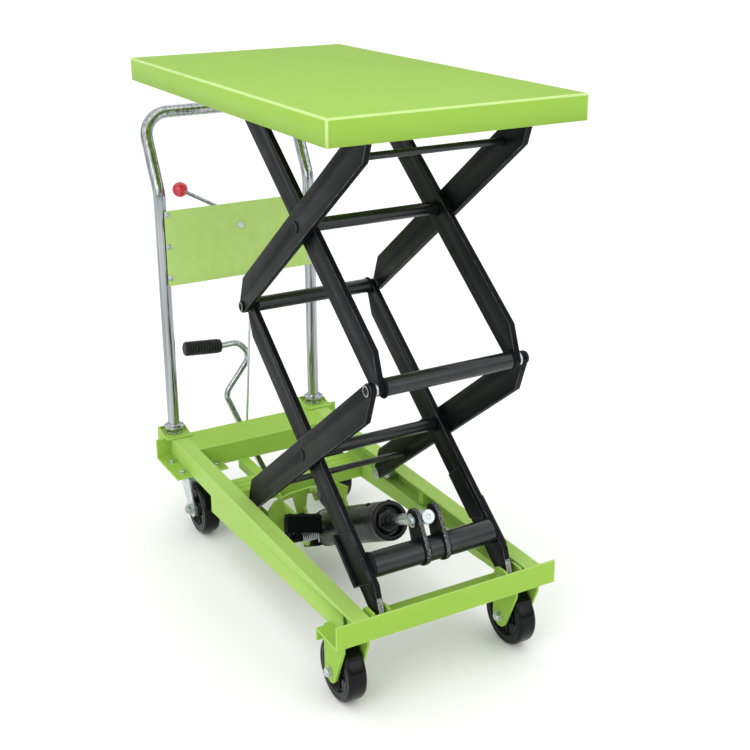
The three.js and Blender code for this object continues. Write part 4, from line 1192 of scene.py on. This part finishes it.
def release():
    """Release lever, its knob and the pull rod."""
    hinge = pivot("release_lever")
    knob_at = extent("release_knob")[2]
    outline = [(-0.012, 0.033), (-0.018, 0.027), (-0.0105, -0.006)]
    outline += circle((0, 0), 0.0125, 10, 1.2 * math.pi, 1.55 * math.pi)
    outline += circle((0.038, -0.007), 0.0085, 10, -0.5 * math.pi, 0.5 * math.pi)
    outline += [(0.010, 0.008)]
    holes = [circle((0, 0), 0.0053), circle((0.038, -0.007), 0.0034, 24)]
    obj = plate("lever_blade", outline, holes, 0.004, 0.0006)
    cross_plate(obj, hinge.y, (0, hinge.z))
    place(obj, ZINC, "release_lever", ("release_lever",))
    start = Vector((-0.008, hinge.y, hinge.z + 0.023))
    axis = (knob_at - start).normalized()
    swept("lever_rod", [start, knob_at - axis * 0.016], 0.0045, CHROME, "release_lever", (), 28)
    size = 17.5
    ball = [(0, -17.2), (6, -17.2), (6.8, -16.1)]
    for i in range(1, 22):
        angle = math.pi * 0.875 * (1 - i / 22)
        ball.append((size * math.sin(angle), size * math.cos(angle)))
    ball.append((0, size))
    turned("knob_ball", ball, knob_at, axis, RED, "release_lever", ("release_knob",), 64)
    pull_rod()


def pull_rod():
    """The wire from the lever down to the valve."""
    low, high, centre = extent("release_pull_rod")
    stops = ((0.038, high.z - 0.004), (0.002, 0.186), (0, low.z))
    corners = [Vector((x, centre.y, z)) for x, z in stops]
    route = [corners[0], *bar_route(corners, 0.02, 5)[1:]]
    swept("pull_wire", route, 0.003, ZINC, "pull_rod", ("release_pull_rod",), 20)


# ---- wheels


def wheel(node, body):
    """A moulded wheel: crowned tread, recessed web with a ring, hub and bearing."""
    low, high, centre = extent(node)
    half = (high.x - low.x) / 2 / MM
    radius = (high.z - low.z) / 2 / MM
    side = [(8.3, half - 1), (12, half - 1), (13, half), (19.5, half), (21, half - 1.5), (22.5, half - 8)]
    side += [(26, half - 9.2), (37, half - 9.2), (40.5, half - 7), (42.5, half - 1.6), (45, half - 0.8)]
    side += [(49, half - 0.8), (50, half - 1.6), (52, half - 1.6), (53, half - 0.9)]
    side += [(radius - 5.2, half - 0.9)]
    tread = [(radius - 2.2, half - 2.6), (radius - 0.5, half - 5.5), (radius, half - 9)]
    right = side + tread
    left = [(r, -d) for r, d in reversed(right)]
    profile = rounded([*right, *left], 0.8, 3) + [right[0]]
    turned("moulded_" + node, profile, centre, X, WHEEL, body, (node,), 112)
    for face in (-1, 1):
        bearing = [(8.2, half - 0.4), (12.4, half - 0.4), (12.6, half - 1.2), (8.2, half - 1.2)]
        bearing.append(bearing[0])
        turned(f"bearing_{node}_{face}", bearing, centre, X * face, ZINC, body, segments=48)
        for i in range(6):
            angle = math.pi * i / 3 + 0.3
            spoke = Vector((0, math.cos(angle), math.sin(angle)))
            ends = [centre + X * face * (half - 8.6) * MM + spoke * r for r in (0.0215, 0.041)]
            swept(f"web_{node}_{face}_{i}", ends, 0.0022, WHEEL, body, (), 12)


def front_wheel_set(name):
    """A fixed wheel in its fork, with its axle bolt."""
    refined(f"front_fork_{name}", GREEN, 0.0012, 3)
    wheel(f"front_wheel_{name}", f"front_wheel_{name}")
    node = f"front_axle_{name}"
    low, high, centre = extent(node)
    half = (high.x - low.x) / 2 / MM
    fork = 27.5
    shaft = solid_rod(8, 1 - half, half - 1)
    turned(f"axle_front_{name}", shaft, centre, X, ZINC, "frame", (node,), 40)
    for face in (-1, 1):
        at = centre + X * face * (fork + 2) * MM
        label = f"front_{name}_{face}"
        hex_head(f"axle_nut_{label}", at, X * face, 0.0175, 0.0072, ZINC, "frame", 0.0112, turn=0.35)
        tip = [(0, fork + 8), (7.7, fork + 8), (7.7, half - 0.9), (6.8, half), (0, half)]
        turned(f"axle_end_{label}", rounded(tip, 0.3), centre, X * face, ZINC, "frame", segments=36)


def rear_caster(name, side):
    """A swivel caster: plate, bearing races, folded fork, axle and wheel."""
    fork = f"rear_fork_{name}"
    body = f"caster_fork_{name}"
    refined(fork, ZINC, 0.0012, 3)
    wheel(f"rear_wheel_{name}", f"rear_wheel_{name}")
    refined(f"caster_plate_{name}", ZINC, 0.0012, 3)
    swivel = pivot(f"caster_swivel_{name}")
    hub = pivot(f"rear_wheel_{name}")
    race = [(26.5, 0), (31.6, 0), (33, 1.4), (33, 4.5), (31, 6.4), (26.5, 6.4), (26.5, 0)]
    base = Vector((swivel.x, swivel.y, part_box(fork)[1].z - 0.0128))
    turned("race_" + name, rounded(race, 0.5), base, Z, ZINC, body, segments=72)
    for face in (-1, 1):
        at = hub + X * face * 0.0308
        hex_head(f"caster_nut_{name}_{face}", at, X * face, 0.0215, 0.0085, ZINC, body, 0.0128, 0.0035, 0.1)
        rivet = [(0, 28.6), (4.2, 28.6), (4.0, 29.8), (2.6, 30.6), (0, 30.8)]
        at = Vector((swivel.x, swivel.y - 0.004, 0.124))
        turned(f"fork_rivet_{name}_{face}", rivet, at, X * face, ZINC, body)
    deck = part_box(f"caster_plate_{name}")[1].z + 0.0043
    for i, y in enumerate((-0.027, 0.038)):
        for j, x in enumerate((0.0425, -0.042)):
            at = Vector((swivel.x + side * x, swivel.y + y, deck))
            label = f"caster_bolt_{name}_{i}_{j}"
            hex_head(label, at, Z, 0.0125, 0.006, ZINC, "frame", washer=0.0088, turn=0.4 * i)


# ---- frame


def chassis():
    """The welded frame: rails with their holes, stops and pivot brackets, and cross-members."""
    for name, side in SIDES:
        # The rails take a paler green, painted light, with painted highlights on their folds.
        rail = refined(f"rail_{name}", GREEN_RAIL_PAINTED_LIGHT, 0.0014, 3, edge=GREEN_FOLD_PAINTED_HIGHLIGHT)
        drain_hole(rail, side)
        refined(f"pivot_bracket_{name}", GREEN, 0.001, 3)
        stop_block(name, side)
        pivot_bolt(name, side)
    for part in ("front", "rear", "middle"):
        refined(part + "_crossmember", GREEN, 0.0014, 3)
    middle_ridges()


def drain_hole(rail, side):
    """Cuts the arched hole through a rail's outer wall, just above the front flange."""
    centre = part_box("rail_left")[0].y + 0.0287
    half = 0.0095
    outline = circle((centre, 0.186), half, 12, 0, math.pi)
    outline += [(centre - half, 0.166), (centre + half, 0.166)]
    cutter = plate("hole_cutter", outline, [], 0.012, 0.0002)
    upright_plate(cutter, side * 0.204)
    cut = rail.modifiers.new("hole", "BOOLEAN")
    cut.operation = "DIFFERENCE"
    cut.object = cutter
    apply_modifiers(rail)
    bpy.data.objects.remove(cutter)


def stop_block(name, side):
    """The block inside a rail that the roller meets when the table is fully up."""
    outline = [(-0.009, -0.017), (0.009, -0.017), (0.009, 0.012), (0.004, 0.017), (-0.009, 0.017)]
    obj = plate("stop_" + name, outline, [], 0.024, 0.001)
    upright_plate(obj, side * 0.187, (pivot("lift").y + 0.377, 0.178))
    place(obj, GREEN, "frame")


def pivot_bolt(name, side):
    """The zinc pivot bolt's thread and nut inside the front bracket."""
    at = pivot("lift") + X * side * 0.1245
    hex_head(f"pivot_nut_{name}", at, -X * side, 0.021, 0.0065, ZINC, "frame", washer=0.0135, stud=0.005)


def middle_ridges():
    """Two low ridges pressed along the middle cross-member."""
    low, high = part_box("middle_crossmember")
    for i, y in enumerate((0.021, 0.043)):
        route = [Vector((x, low.y + y, high.z - 0.0006)) for x in (-0.158, 0.158)]
        swept(f"ridge_{i}", route, 0.0022, GREEN, "frame", (), 12)


make_camera()
make_studio()
make_floor()

table_deck()
for name, side in SIDES:
    refined(f"table_channel_{name}", GREEN, 0.001)
    roller(f"lower_roller_{name}", f"lower_roller_{name}")
    roller(f"upper_roller_{name}", f"upper_roller_{name}")
    stiffeners(side)
    for level in LEVELS:
        chamfer_bead(level, side)
        centre = pivot(f"{level}_cross")
        inner_tip, outer_tip = arm_tips(level)
        arm(level, True, side, centre, inner_tip)
        arm(level, False, side, centre, outer_tip)
cross_tube("lower_centre_tube", 12.5, "lower_inner")
cross_tube("middle_back_tube", 15, "lower_inner", True)
cross_tube("upper_centre_tube", 12.5, "upper_inner")
cross_tube("middle_front_tube", 16, "upper_inner", True)
tie_rod("lower_tie_rod", "lower_outer")
tie_rod("upper_tie_rod", "upper_outer")
lift_tube()
clevis_pin()
ram()
pump()
refined("pump_bracket", GREEN, 0.0012, 3)
pedal_spring()
pedal()
grip()
handle()
panel()
release()
chassis()
for name, side in SIDES:
    front_wheel_set(name)
    rear_caster(name, side)
